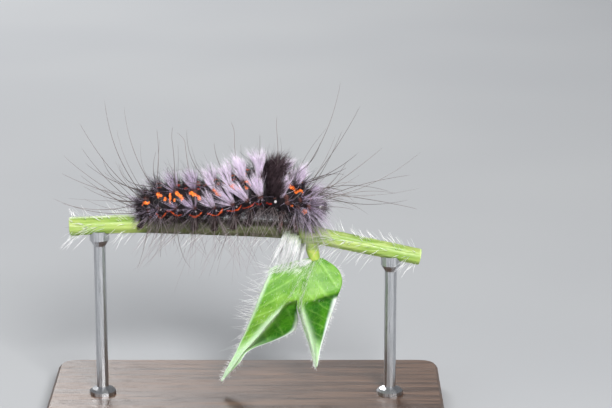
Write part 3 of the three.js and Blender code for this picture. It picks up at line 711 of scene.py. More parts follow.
def build_skin():
    rows, cols = 430, 150
    xs = BODY["tail"] + 0.004 + (NECK - BODY["tail"] - 0.02) * np.linspace(0, 1, rows) ** 1.0
    ph = np.linspace(-90, 270, cols, endpoint=False)
    X, P = np.meshgrid(xs, ph, indexing="ij")
    x, p = X.ravel(), P.ravel()
    r = skin_r(x)
    base = body_point(x, p, 0 * x)
    h = relief(x, p, r) + 0.018 * waves(base, 0.9, seed=3) + 0.010 * waves(base, 0.35, seed=4)
    co = body_point(x, p, np.where(r < 0.5, 0, h))
    faces = quad_grid(rows, cols, True).tolist()
    co = np.vstack([co, body_axis(np.array([xs[0]]))[0], body_axis(np.array([xs[-1]]))[0]])
    s, e, last = len(co) - 2, len(co) - 1, (rows - 1) * cols
    faces += [[s, (j + 1) % cols, j] for j in range(cols)] + [[e, last + j, last + (j + 1) % cols] for j in range(cols)]
    parts = [(co, [f[::-1] for f in faces])]
    feet = []
    for name, grip, lift, tail in PROLEGS:
        for side in (1, -1):
            mid = at(name) + (0.1 if tail else 0)
            hip, out = on_body(mid, -60, side, -0.55), on_body(mid, -60, side, 0.1)
            foot = on_stem(mid - (0.25 if tail else 0.1), grip, side, 0.12 + lift)
            knee = out * 0.5 + foot * 0.5 + RIGHT * side * (0.28 if tail else 0.3)
            line = spline([hip, out, knee, foot], 15)
            thick = 0.5 * (0.86 if tail else 0.95)
            radii = thick * np.interp(np.linspace(0, 1, 15), [0, .25, .42, .6, .72, .84, .93, 1],
                                      [1.2, 1.1, .98, .86, .80, .95, 1.05, .85])
            radii = radii * (1 + 0.05 * np.cos(np.linspace(0, 1, 15) * 26))
            parts.append(tube(line, radii, 20, flatten=0.84))
            feet.append((name, side, foot, line))
    co, flat, total = remeshed("skin", parts, 0.082)
    d = co - stem_axis(co[:, 0])
    rad = np.hypot(d[:, 1], d[:, 2])
    need = stem_r(co[:, 0]) + 0.015
    low = rad < need
    co[low, 1:] = stem_axis(co[low, 0])[:, 1:] + d[low, 1:] * (need[low] / np.maximum(rad[low], 1e-3))[:, None]
    x, phi, rr = body_coords(co)
    r = skin_r(np.clip(x, BODY["tail"], NECK))
    orange, red, mid, spiracle, wart = marks(x, phi, r)
    side = np.where(phi > 90, 180 - phi, phi)
    leg = smooth(0.12, 0.4, rr - r) * smooth(-38, -50, side)
    sole = smooth(0.32, 0.1, np.hypot(d[:, 1], d[:, 2]) - stem_r(co[:, 0])) * leg
    i, t = ring_of(np.clip(x, BODY["tail"], NECK - 1e-3))
    fold = bump(np.minimum(t, 1 - t) * LENGTH[i], 0.12)
    return co, flat, total, dict(orange=orange, red=red, mid=mid, spiracle=spiracle, wart=wart, leg=leg, sole=sole,
                                 belly=smooth(-38, -58, side), fold=fold, station=x), feet


def skin_material():
    m = Nodes("larva_skin")
    fine = m.noise(9000.0, 4.0, 0.6)
    grain = m.voronoi(11000.0)
    lumps = m.noise(2600.0, 3.0)
    black = m.mix(m.range(lumps, 0.35, 0.7), (0.005, 0.004, 0.005), (0.014, 0.011, 0.014))
    black = m.mix(m.range(fine, 0.55, 0.75, 0.0, 0.5), black, (0.032, 0.025, 0.032))
    black = m.mix(m.math("MULTIPLY", m.attr("fold"), 0.5), black, (0.028, 0.018, 0.02))
    wart = m.range(m.attr("wart"), 1.15, 0.55)
    black = m.mix(m.math("MULTIPLY", wart, 0.75), black, m.mix(m.range(fine, 0.4, 0.7), (0.035, 0.013, 0.012), (0.19, 0.075, 0.062)))
    belly = m.mix(m.range(lumps, 0.3, 0.7), (0.045, 0.028, 0.028), (0.13, 0.082, 0.078))
    colour = m.mix(m.math("MULTIPLY", m.attr("belly"), 0.8), black, belly)
    leg = m.mix(m.range(lumps, 0.3, 0.7), (0.016, 0.010, 0.010), (0.050, 0.031, 0.028))
    colour = m.mix(m.attr("leg"), colour, leg)
    colour = m.mix(m.math("MULTIPLY", m.attr("sole"), 0.6), colour, (0.11, 0.068, 0.058))
    ragged = m.math("MULTIPLY", m.math("SUBTRACT", m.noise(5200.0, 2.0), 0.5), 0.2)
    lump = m.voronoi(5200.0)
    red_d = m.math("ADD", m.attr("red"), m.math("MULTIPLY", ragged, 0.55))
    red_m = m.range(red_d, 0.03, -0.03)
    front = m.range(m.attr("station"), -1.0, 2.2)
    red_c = m.mix(m.range(lump, 0.2, 0.6), (0.66, 0.115, 0.022), (0.38, 0.038, 0.010))
    red_c = m.mix(front, red_c, (0.20, 0.012, 0.006))
    colour = m.mix(red_m, colour, red_c)
    mid_d = m.math("ADD", m.attr("mid"), ragged)
    mid_m = m.range(mid_d, 0.03, -0.03)
    colour = m.mix(mid_m, colour, m.mix(lump, (0.42, 0.04, 0.012), (0.2, 0.016, 0.008)))
    orange_d = m.math("ADD", m.attr("orange"), ragged)
    orange_m = m.range(orange_d, 0.035, -0.035)
    orange_c = m.mix(m.range(lump, 0.15, 0.55), (0.96, 0.31, 0.040), (0.78, 0.13, 0.018))
    orange_c = m.mix(m.range(fine, 0.55, 0.8, 0.0, 0.5), orange_c, (1.0, 0.55, 0.16))
    colour = m.mix(orange_m, colour, orange_c)
    ring = m.math("MULTIPLY", m.range(m.attr("spiracle"), 1.1, 0.5), 1.0)
    colour = m.mix(ring, colour, (0.006, 0.005, 0.006))
    colour = m.mix(m.range(m.attr("spiracle"), 0.12, -0.12), colour, m.mix(m.range(m.attr("station"), 2.6, 3.6), (0.25, 0.22, 0.23), (0.50, 0.47, 0.48)))
    height = m.math("ADD", m.math("MULTIPLY", fine, 0.5), m.math("MULTIPLY", grain, 0.6))
    spots = m.math("MAXIMUM", orange_m, m.math("MAXIMUM", red_m, mid_m))
    height = m.math("ADD", height, m.math("MULTIPLY", m.math("MULTIPLY", m.math("SUBTRACT", 1.0, lump), spots), 1.6))
    m.set(Base_Color=colour, Roughness=m.range(fine, 0.3, 0.75, 0.30, 0.52), Normal=m.bump(height, 0.6, 0.00004))
    m.shader.inputs["Specular IOR Level"].default_value = 0.15
    return m.material


co, flat, total, masks, FEET = build_skin()
skin = piece("larva_skin", mesh_from("larva_skin", co, flat, total, attrs=masks), skin_material(),
             [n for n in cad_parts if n.startswith(("thorax_", "abdomen_", "proleg_"))])
print("skin triangles", int((total - 2).sum()))

# ------------------------------------------------------------------ head
HEAD = dict(width=1.16, height=1.26, depth=1.02, ahead=0.66, drop=0.1, nod=45, groove=0.14, groove_w=0.2)
NF, NR, NU = (v[0] for v in body_frame(np.array([NECK])))
HC = body_axis(np.array([NECK]))[0] + NF * HEAD["ahead"] - NU * HEAD["drop"]
FACE = NF * math.cos(HEAD["nod"] * DEG) - NU * math.sin(HEAD["nod"] * DEG)
CROWN = unit(np.cross(NR, FACE))


def head_point(r, f, u, off=0.0, fine=True):
    d = unit(np.stack(np.broadcast_arrays(np.asarray(r, float), np.asarray(f, float), np.asarray(u, float)), -1))
    lobes = HEAD["groove"] * bump(d[..., 0], HEAD["groove_w"]) * np.maximum(0, d[..., 2] + 0.35)
    jaw = 1 - 0.2 * np.maximum(0, -d[..., 2] - 0.2)
    p = np.stack([d[..., 0] * HEAD["width"] * jaw, d[..., 1] * HEAD["depth"], d[..., 2] * HEAD["height"]], -1)
    p = p * (1 - lobes)[..., None]
    if fine:
        front = smooth(0.1, 0.5, d[..., 1])
        # the crown's cleft runs down and forks round the triangular brow plate
        cleft = 0.07 * bump(d[..., 0], 0.045) * smooth(0.12, 0.35, d[..., 2])
        fork = 0.055 * bump(np.abs(d[..., 0]) - 0.42 * np.clip(0.28 - d[..., 2], 0, 1) ** 0.9, 0.04) * smooth(0.30, 0.2, d[..., 2])
        mouth = 0.05 * smooth(-0.55, -0.75, d[..., 2])
        dent = cleft + (fork + mouth) * front
        p = p - unit(p) * dent[..., None]
    p = p + unit(p) * np.asarray(off)[..., None] if np.ndim(off) else p + unit(p) * off
    return HC + p[..., :1] * NR + p[..., 1:2] * FACE + p[..., 2:3] * CROWN


def head_material():
    m = Nodes("head_shell")
    pits = m.voronoi(9500.0)
    cloud = m.noise(1400.0, 3.0)
    colour = m.mix(m.range(cloud, 0.3, 0.75), (0.005, 0.004, 0.004), (0.028, 0.016, 0.012))
    groove = m.range(m.attr("cleft"), 0.0, 0.05)
    colour = m.mix(groove, colour, (0.10, 0.05, 0.035))
    m.set(Base_Color=colour, Roughness=m.range(cloud, 0.3, 0.7, 0.22, 0.38), Normal=m.bump(pits, 0.45, 0.00003))
    m.shader.inputs["Coat Weight"].default_value = 0.35
    m.shader.inputs["Coat Roughness"].default_value = 0.2
    return m.material


def build_head():
    rows, cols = 150, 220
    v = (np.arange(1, rows) / rows * math.pi)[:, None]
    w = (np.arange(cols) / cols * 2 * math.pi)[None]
    r, f, u = np.sin(v) * np.cos(w), np.sin(v) * np.sin(w), np.cos(v) + 0 * w
    d = np.stack([r, f, u], -1).reshape(-1, 3)
    co = head_point(d[:, 0], d[:, 1], d[:, 2], -0.012 + 0.004 * waves(d, 0.25, seed=9))
    cleft = 0.07 * bump(d[:, 0], 0.05) * smooth(0.12, 0.35, d[:, 2]) + 0.055 * smooth(0.1, 0.5, d[:, 1]) * bump(
        np.abs(d[:, 0]) - 0.42 * np.clip(0.28 - d[:, 2], 0, 1) ** 0.9, 0.045) * smooth(0.30, 0.2, d[:, 2])
    top, bottom = head_point(0, 0, 1, -0.012), head_point(0, 0, -1, -0.012)
    co = np.vstack([co, top, bottom])
    faces = quad_grid(rows - 1, cols, True).tolist()
    s, e, last = len(co) - 2, len(co) - 1, (rows - 2) * cols
    faces += [[s, (j + 1) % cols, j] for j in range(cols)] + [[e, last + j, last + (j + 1) % cols] for j in range(cols)]
    c, fl, sz = joined([(co, [g[::-1] for g in faces])])
    return mesh_from("head_capsule", c, fl, sz, attrs={"cleft": np.concatenate([cleft, [0, 0]])})


piece("head_capsule", build_head(), head_material(), ["head"])


def shell_material(name, dark, pale, rough=0.25, scale=2200.0):
    m = Nodes(name)
    cloud = m.noise(scale, 3.0)
    along = m.attr("along")
    colour = m.mix(m.range(cloud, 0.3, 0.7), dark, tuple((a + b) / 2 for a, b in zip(dark, pale)))
    colour = m.mix(m.math("MULTIPLY", m.attr("joint"), 0.85), colour, pale)
    colour = m.mix(m.range(along, 0.8, 1.0, 0.0, 0.6), colour, tuple(c * 0.3 for c in dark))
    m.set(Base_Color=colour, Roughness=m.range(cloud, 0.3, 0.7, rough - 0.06, rough + 0.12),
          Normal=m.bump(m.noise(16000.0, 2.0), 0.3, 0.00002))
    m.shader.inputs["Coat Weight"].default_value = 0.25
    m.shader.inputs["Coat Roughness"].default_value = 0.2
    return m.material


def dome(centre, out, radius, height, n=9, k=20):
    """A smooth lens: a low dome on a short collar."""
    out = unit(np.asarray(out, float))
    a = unit(np.cross(out, NR + 0.1 * NU))
    b = np.cross(out, a)
    v = np.linspace(1.0, 0.06, n) * math.pi / 2
    w = np.arange(k) / k * 2 * math.pi
    prof = [(radius * 1.18, -0.10), (radius * 1.15, -0.01)] + [(radius * math.sin(q), height * math.cos(q)) for q in v]
    co = np.array([centre + out * z + (a * math.cos(x) + b * math.sin(x)) * rr for rr, z in prof for x in w])
    faces = quad_grid(len(prof), k, True).tolist()
    co = np.vstack([co, centre + out * height, centre - out * 0.1])
    last = (len(prof) - 1) * k
    faces += [[len(co) - 2, last + j, last + (j + 1) % k] for j in range(k)]
    faces += [[len(co) - 1, (j + 1) % k, j] for j in range(k)]
    return co, faces


lens = shell_material("eye_lens", (0.010, 0.008, 0.008), (0.05, 0.03, 0.02), 0.06)
for side, word in ((1, "right"), (-1, "left")):
    domes = []
    for k in range(6):
        a = (-75 + 150 * k / 5) * DEG
        q = (side * (0.72 + 0.1 * math.cos(a)), 0.62 + 0.2 * math.cos(a), -0.32 + 0.26 * math.sin(a))
        centre = head_point(*q, -0.02)
        domes.append(dome(centre, centre - HC, 0.085 if k != 3 else 0.095, 0.075))
    c, fl, sz = joined(domes)
    piece("eye_lenses_" + word, mesh_from("eye_" + word, c, fl, sz, attrs={"along": np.zeros(len(c)), "joint": np.zeros(len(c))}),
          lens, ["eye_" + word])


def profile_tube(points, radii, steps, sides, joints=(), ref=(1, 0, 0), flatten=1.0):
    """A tube whose radius follows a list, with a paler band at each joint. Gives points, faces, along and joint."""
    line = spline(points, steps)
    s = np.linspace(0, 1, steps)
    r = np.interp(s, np.linspace(0, 1, len(radii)), radii)
    band = np.zeros(steps)
    for j in joints:
        band = np.maximum(band, bump(s - j, 0.025))
        r = r * (1 - 0.13 * bump(s - j, 0.018) + 0.025 * bump(s - j - 0.05, 0.04) + 0.045 * bump(s - j + 0.045, 0.03))
    co, faces = tube(line, r, sides, ref=ref, flatten=flatten)
    return co, faces, np.concatenate([np.repeat(s, sides), [0, 1]]), np.concatenate([np.repeat(band, sides), [0, 0]])


def joined_shell(name, tubes):
    c, fl, sz = joined([(t[0], t[1]) for t in tubes])
    return mesh_from(name, c, fl, sz, attrs={"along": np.concatenate([t[2] for t in tubes]),
                                            "joint": np.concatenate([t[3] for t in tubes])})


horn = shell_material("mouth_shell", (0.03, 0.012, 0.008), (0.34, 0.19, 0.12), 0.28)
DOWN = -CROWN
lip_at = head_point(0.0, 0.7, -0.8, -0.06)
lip_way = unit(FACE * 0.5 + DOWN)
lip_parts = []
for k in (-1, 0, 1):
    a = lip_at + NR * 0.13 * k
    lip_parts.append(profile_tube([a - lip_way * 0.05, a + lip_way * 0.16, a + lip_way * (0.32 - 0.05 * (k == 0))],
                                  [0.15, 0.165, 0.15, 0.07], 16, 18, joints=(0.35,), ref=NR, flatten=0.75))
piece("upper_lip_plate", joined_shell("upper_lip_plate", lip_parts), horn, ["upper_lip"])
for side, word in ((1, "right"), (-1, "left")):
    cheek = NR * side
    base = head_point(side * 0.46, 0.14, -1, -0.1)
    way = unit(DOWN - cheek * 0.1 + FACE * 0.25)
    teeth = [profile_tube([base, base + way * 0.22, base + way * 0.44 - cheek * 0.04], [0.24, 0.26, 0.2, 0.12], 18, 18,
                          joints=(0.2,), ref=NR)]
    for k in range(4):
        q = base + way * 0.40 - cheek * (0.02 + 0.03 * k) + FACE * (0.12 - 0.07 * k)
        teeth.append(profile_tube([q - way * 0.06, q + way * 0.04, q + way * 0.10], [0.05, 0.04, 0.012], 8, 8))
    piece("jaw_plate_" + word, joined_shell("jaw_plate_" + word, teeth), horn, ["jaw_" + word])
    base = head_point(side * 0.68, 0.62, -0.62, -0.04)
    way = unit(FACE + DOWN + cheek * 0.7)
    parts = [profile_tube([base - way * 0.05, base + way * 0.16], [0.17, 0.18, 0.15], 12, 18, joints=(0.8,)),
             profile_tube([base + way * 0.14, base + way * 0.36], [0.12, 0.125, 0.115, 0.09], 12, 16, joints=(0.9,)),
             profile_tube([base + way * 0.35, base + way * 0.50], [0.07, 0.07, 0.05, 0.015], 10, 12),
             profile_tube([base + way * 0.34 + cheek * 0.05, base + way * 0.6 + cheek * 0.1], [0.016, 0.012, 0.004], 8, 6)]
    piece("feeler_joints_" + word, joined_shell("feeler_joints_" + word, parts), horn, ["feeler_" + word])

# ------------------------------------------------------------------ true legs
leg_shell = shell_material("leg_shell", (0.018, 0.007, 0.006), (0.13, 0.055, 0.04), 0.28)
for pair, reach, grip, bow in LEGS:
    for side, word in ((1, "right"), (-1, "left")):
        x = at(pair)
        hip, out = on_body(x, -58, side, -0.3), on_body(x, -58, side, 0.25)
        foot = on_stem(x + reach * (1 if side > 0 else 0.7), grip, side, 0.10)
        knee = out * 0.55 + foot * 0.45 + RIGHT * side * bow
        body = profile_tube([hip, out, knee, foot], [v * 0.355 for v in (1.05, 1.04, 0.92, 0.80, 0.76, 0.66, 0.52, 0.40, 0.28)],
                            70, 22, joints=(0.2, 0.44, 0.66, 0.86))
        into = unit(stem_axis(foot[0]) - foot)
        back = unit(np.cross(np.cross(into, unit(foot - knee)), into))
        claw = profile_tube([foot - (foot - knee) * 0.06, foot + into * 0.05 + unit(foot - knee) * 0.06,
                             foot + into * 0.10 - back * 0.02], [0.12, 0.1, 0.07, 0.015], 12, 12)
        piece(f"leg_{pair}_{word}_jointed", joined_shell(f"leg_{pair}_{word}", [body, claw]), leg_shell,
              [f"leg_{pair}_{word}"])

# hooks round the sole of each false leg
hook_parts = []
for name, side, foot, line in FEET:
    axis = unit(stem_axis(foot[0]) - foot)
    a = unit(np.cross(axis, np.array([1.0, 0, 0])))
    b = np.cross(axis, a)
    for k in range(15):
        w = (-70 + 140 * k / 14) * DEG
        rim = (b * math.cos(w) + a * math.sin(w) * side) * 0.36
        base = foot + rim * 1.0 - axis * 0.03
        tip = foot + rim * 0.72 + axis * 0.10
        hook_parts.append(profile_tube([base - axis * 0.05, base + rim * 0.12 + axis * 0.03, tip], [0.022, 0.02, 0.006], 7, 6))
hooks = joined_shell("foot_hooks", hook_parts)
piece("foot_hooks", hooks, leg_shell)

# ------------------------------------------------------------------ the coat
PLUME = dict(rings=6, barbs=7, barb=0.12, barb_r=0.008, r0=0.0175, wave=0.03, vary=0.15, tight=0.62)
white, white_far, lilac, brush, dark, rear, grey, fringe, long_hair, short = (Coat() for _ in range(10))
# ring, share of the ring, degrees, hairs, length, way (out, up the side, forward), spread, locks
WHITE = [("A2", 0.5, 68, 150, 2.85, (.84, .54, .07), 0.24, 6), ("A2", 0.5, 12, 230, 3.65, (.26, .95, -.07), 0.24, 8),
         ("A3", 0.5, 68, 150, 2.85, (.84, .54, -.02), 0.26, 6), ("A3", 0.5, 10, 190, 3.5, (.26, .92, -.32), 0.28, 9),
         ("A4", 0.55, 68, 115, 2.8, (.82, .52, -.16), 0.26, 6), ("A4", 0.55, 12, 130, 3.2, (.30, .88, -.40), 0.38, 11),
         ("A5", 0.5, 68, 100, 2.7, (.82, .50, -.26), 0.28, 6), ("A5", 0.5, 12, 100, 2.9, (.34, .84, -.46), 0.46, 11),
         ("T3", -0.08, 22, 250, 2.9, (.28, .92, .06), 0.14, 6), ("T3", 0.4, 80, 20, 1.9, (.80, .40, .05), 0.28, 4),
         ("T2", -0.03, 79, 190, 3.2, (.90, .40, .05), 0.14, 6)]
for coat, flip in ((white, False), (white_far, True)):
    for name, share, phi, count, length, way, spread, wisps in WHITE:
        locks(coat, at(name, share), 180 - phi if flip else phi, count, length, way, spread, wisps=wisps, **PLUME)

SOFT = dict(rings=6, barbs=6, barb=0.10, barb_r=0.007, r0=0.0135, wave=0.045, vary=0.24, make=locks)
both(lilac, at("A6"), 68, 96, 2.7, (.80, .52, -.34), 0.46, wisps=8, **SOFT)
both(lilac, at("A6", 0.45), 9, 90, 2.6, (.42, .78, -.46), 0.52, wisps=9, **SOFT)
both(lilac, at("A7"), 68, 50, 2.4, (.80, .46, -.40), 0.55, wisps=7, **SOFT)
both(lilac, at("A7"), 9, 36, 2.0, (.54, .64, -.42), 0.6, wisps=6, **SOFT)
both(lilac, at("T2", 0.6), 40, 34, 2.1, (.50, .52, .72), 0.6, wisps=8, droop=0.02, **SOFT)
both(lilac, at("T1", 0.45), 60, 26, 2.1, (.50, .40, .84), 0.7, wisps=8, droop=0.02, **SOFT)
both(lilac, at("T1", 0.45), 30, 62, 2.8, (.58, .28, .84), 0.8, wisps=10, droop=0.26, **SOFT)
# fine pale hairs that fan from the side warts across the markings
for name, lean in (("A2", -.2), ("A3", -.3), ("A4", -.4), ("A5", -.45), ("A6", -.5), ("A7", -.5), ("A8", -.5), ("T3", .2), ("T2", .4)):
    n = 10 if name[0] == "T" else 14 if name in ("A2", "A8", "A7") else 22
    both(lilac, at(name), 12, n, 2.3, (.86, .42, lean), 1.25, make=locks, wisps=14, tight=0.3, stray=0.4, rings=5, r0=0.0105,
         vary=0.3, uneven=(0.5, 1.15))
    both(lilac, at(name), 66, n // 2, 2.4, (.90, .2, lean), 1.2, make=locks, wisps=9, tight=0.3, stray=0.4, rings=5, r0=0.0105,
         vary=0.3, uneven=(0.5, 1.15))

for phi, n, length, way in ((12, 240, 3.1, (.34, .92, .20)), (36, 230, 2.65, (.66, .70, .30)),
                            (62, 270, 2.4, (.82, .52, .38)), (86, 130, 2.3, (1, .05, .42))):
    both(brush, at("A1", 0.34), phi, n, length, way, 0.46, make=locks, patch=(0.74, 0.42), r0=0.0155, rings=6, wave=0.05,
         vary=0.28, wisps=15, tight=0.62, uneven=(0.60, 1.18), fan=0.8, stray=0.2, barbs=5, barb=0.11, barb_r=0.008)
for phi, n, length in ((30, 60, 1.7), (58, 80, 2.3), (84, 50, 2.6)):
    both(brush, at("A2", 1.0) - 0.12, phi, n, length, (.85, .4, .05), 0.5, make=locks, patch=(0.36, 0.55), r0=0.0145, rings=5, wave=0.05,
         vary=0.28, wisps=8, tight=0.4, stray=0.25, barbs=3, barb=0.09, barb_r=0.007)
both(brush, at("T3", 0.75), 62, 34, 2.0, (.9, .3, .1), 0.3, patch=0.35, r0=0.018, rings=5, vary=0.2)

for name in ("A2", "A3", "A4", "A5", "A6", "A7", "T3", "T2"):
    way = -0.4 if name[0] == "A" else 0.35
    both(dark, at(name), 66, 22, 2.9, (.80, .4, way), 0.6, patch=0.34, r0=0.014, rings=5, wave=0.03, vary=0.3)
    both(dark, at(name), 12, 20, 2.4, (.60, .6, way), 0.6, patch=0.34, r0=0.014, rings=5, wave=0.03, vary=0.3)
    both(dark, at(name), -6, 16, 1.4, (.8, -.1, way), 0.7, patch=0.4, r0=0.012, rings=4, wave=0.03, vary=0.3)
    both(dark, at(name, 0.5), 40, 26, 1.2, (.6, .5, way), 0.5, patch=(0.5, 0.6), r0=0.012, rings=4, wave=0.03, vary=0.3)
    both(dark, at(name, 0.02), 60, 26, 1.3, (.8, .3, way), 0.6, patch=(0.3, 0.7), r0=0.012, rings=4, wave=0.03, vary=0.3)
TAIL = dict(make=locks, rings=5, wave=0.05, vary=0.28, tight=0.4, stray=0.25, uneven=(0.55, 1.15))
for name, back, k in (("A8", -.42, 1.0), ("A9", -.80, 0.86)):
    both(rear, at(name), 64, 80, 1.9 * k, (.80, .3, back), 0.75, patch=0.42, r0=0.0135, wisps=11, **TAIL)
    both(rear, at(name), 12, 70, 1.7 * k, (.78, .3, back), 0.75, patch=0.42, r0=0.0135, wisps=11, **TAIL)
    both(grey, at(name), 64, 26, 2.1 * k, (.85, .2, back), 0.95, patch=0.36, r0=0.0115, wisps=9, barbs=4, barb=0.08, **TAIL)
    both(grey, at(name), 10, 24, 2.0 * k, (.85, .3, back), 0.95, patch=0.36, r0=0.0115, wisps=9, barbs=4, barb=0.08, **TAIL)
    both(grey, at(name), -20, 16, 1.7 * k, (.85, -.3, back), 0.9, patch=0.36, r0=0.0115, wisps=8, **TAIL)
for phi in (-55, -25, 5, 35, 65):
    both(rear, at("A10", 0.5), phi, 40, 1.45, (.66, .05, -.9), 0.95, patch=0.40, r0=0.013, wisps=9, **TAIL)
    both(grey, at("A10", 0.45), phi, 16, 1.9, (.6, .05, -.95), 1.0, patch=0.40, r0=0.0115, wisps=7, barbs=4, barb=0.08, **TAIL)

# hairs that hang from the lower warts, over the stem: a dark under layer, and long pale single hairs over it
for name in NAMES[2:]:
    front = name[0] == "T"
    lean = 0.22 if front else -0.14
    reach = 4.4 if front else (6.2 if name in ("A1", "A2", "A3") else 7.3)
    fill = 1.6 if name in ("A1", "A2", "T3") else 1.0
    both(dark, at(name), -38, int(64 * fill), 2.0 + 0.6 * (fill > 1), (.60, -.70, lean), 0.9, patch=0.46, r0=0.0155, rings=5, wave=0.05, vary=0.32, droop=0.06)
    both(dark, at(name), -58, int(62 * fill), 2.0 + 0.6 * (fill > 1), (.55, -.70, lean), 0.8, patch=0.5, r0=0.0155, rings=5, wave=0.05, vary=0.3)
    both(dark, at(name, 0.0), -50, 46, 1.7, (.6, -.65, lean), 0.8, patch=0.5, r0=0.0155, rings=4, wave=0.05, vary=0.3)
    both(fringe, at(name), -31, 14 if fill > 1 or name == "A3" else 20, reach, (.86, -.50, lean), 1.05, make=locks, patch=0.40, r0=0.021, rings=9, wave=0.035,
         vary=0.20, uneven=(0.40, 1.3), droop=0.10, wisps=24, tight=0.0, stray=0.35, tip=0.4)
    both(fringe, at(name), -20, 12, 2.4, (.88, -.42, lean), 1.1, make=locks, patch=0.38, r0=0.016, rings=6, wave=0.035, vary=0.3,
         uneven=(0.5, 1.1), droop=0.08, wisps=10, tight=0.2, stray=0.4)
    both(fringe, at(name), -48, 4 if fill > 1 else 7, reach * 0.70, (.66, -.66, lean), 0.9, make=locks, patch=0.42, r0=0.018, rings=7, wave=0.04,
         vary=0.25, uneven=(0.5, 1.12), droop=0.05, wisps=10, tight=0.0, stray=0.3, tip=0.4)
both(fringe, at("A9"), -33, 26, 3.0, (.6, -.6, -.5), 0.9, make=locks, patch=0.3, r0=0.018, rings=6, wave=0.04, vary=0.3, wisps=12,
     tight=0.2, stray=0.3)
FACEWARD = dict(make=locks, wave=0.035, uneven=(0.55, 1.15), tight=0.45, stray=0.22)
both(grey, at("T1", 0.55), 8, 96, 4.3, (.55, .16, .95), 0.85, patch=0.32, r0=0.0150, rings=9, droop=0.56, barbs=4, barb=0.07,
     barb_r=0.006, vary=0.26, wisps=14, **FACEWARD)
both(grey, at("T1", 0.5), 34, 44, 4.4, (.55, .10, .98), 0.7, patch=0.30, r0=0.0145, rings=9, droop=0.44, barbs=4, barb=0.07,
     barb_r=0.006, vary=0.26, wisps=10, **FACEWARD)
both(grey, at("T1", 0.6), -22, 96, 3.6, (.65, -.30, .75), 0.9, patch=0.32, r0=0.0145, rings=8, droop=0.46, vary=0.26, wisps=15,
     **FACEWARD)
both(grey, at("T2"), 10, 64, 3.1, (.75, -.05, .62), 0.8, patch=0.32, r0=0.0145, rings=7, droop=0.40, barbs=4, barb=0.07,
     barb_r=0.006, vary=0.26, wisps=12, **FACEWARD)
both(grey, at("T1", 0.5), 84, 20, 2.2, (.5, 0, 1.0), 0.7, patch=0.25, r0=0.0125, rings=6, droop=0.10, barbs=4, barb=0.07,
     barb_r=0.006, vary=0.26, wisps=8, **FACEWARD)
both(dark, at("T1", 0.6), -5, 60, 2.2, (.6, -.2, .8), 0.9, patch=0.4, r0=0.015, rings=6, wave=0.04, droop=0.3, vary=0.3)

# long sparse hairs: ring, degrees, where the tip is (x, z as seen level with the stem, y), bow, and how far the end is bent
LONG = [("A9", 70, -17.2, 41.4, -1.0, .9, 0), ("A8", 74, -14.9, 40.5, .5, .9, 0), ("A9", 55, -20.3, 38.4, -2.0, .5, 0),
        ("A10", 60, -20.3, 35.3, -.5, .5, 0), ("A10", 45, -22.4, 34.2, -1.5, .7, 0), ("A10", 30, -20.3, 31.7, -2.5, .4, 0),
        ("A10", 8, -24.1, 28.8, -1.0, .6, 0), ("A8", 76, -10.9, 37.7, .2, -.1, 0), ("A7", 70, -9.3, 38.2, -.6, -.3, .5),
        ("A6", 68, -7.4, 37.6, -.6, .4, -1.1), ("A5", 72, -7.2, 37.7, .6, .5, 0), ("A3", 74, -1.1, 38.8, -.3, .3, -.6),
        ("A1", 66, 3.75, 39.4, -.8, -.3, .3), ("T3", 68, 11.9, 43.7, -.6, -.8, 0), ("T2", 66, 14.4, 40.7, -1.0, -.5, 0),
        ("T2", 60, 12.2, 37.6, -1.6, -.3, 0), ("T1", 70, 12.8, 33.6, -1.0, -.2, 0), ("T1", 62, 17.2, 35.3, .5, -.5, 0),
        ("T1", 55, 22.0, 34.8, -1.0, -.9, 0), ("T1", 45, 20.6, 31.7, -2.0, .5, 0), ("T1", 32, 18.9, 29.3, -2.6, .8, 0),
        ("T1", 15, 13.6, 27.2, -3.6, 1.0, 0), ("T1", 25, 15.6, 26.4, -2.4, 1.4, 0), ("T2", 24, 14.8, 30.6, -4.8, .8, -.7),
        ("A9", -30, -13.4, 19.6, -3.2, .3, 0), ("A8", -33, -10.5, 21.0, -3.2, .2, 0), ("A7", -33, -6.9, 19.6, -3.7, -.2, .4),
        ("A6", -30, -6.6, 22.0, -4.0, .2, 0), ("A8", -26, -12.0, 22.4, -3.6, .3, 0), ("A4", -33, -3.4, 20.6, -3.8, .2, 0),
        ("A2", 80, 1.9, 37.0, .3, 0, 0), ("A4", 74, -3.8, 35.9, .2, .2, 0), ("A7", 58, -9.4, 33.6, -2.2, -.2, -.7),
        ("A6", 56, -6.1, 33.3, -2.4, -.2, 0), ("A5", 12, -4.6, 30.0, -7.4, .4, 0), ("A2", 12, 1.1, 29.2, -7.5, .3, 0),
        ("T3", 20, 7.8, 30.4, -7.0, -.3, 0), ("A8", 12, -10.6, 28.6, -7.2, .4, 0), ("A1", -20, 3.6, 23.6, -6.2, .3, 0)]
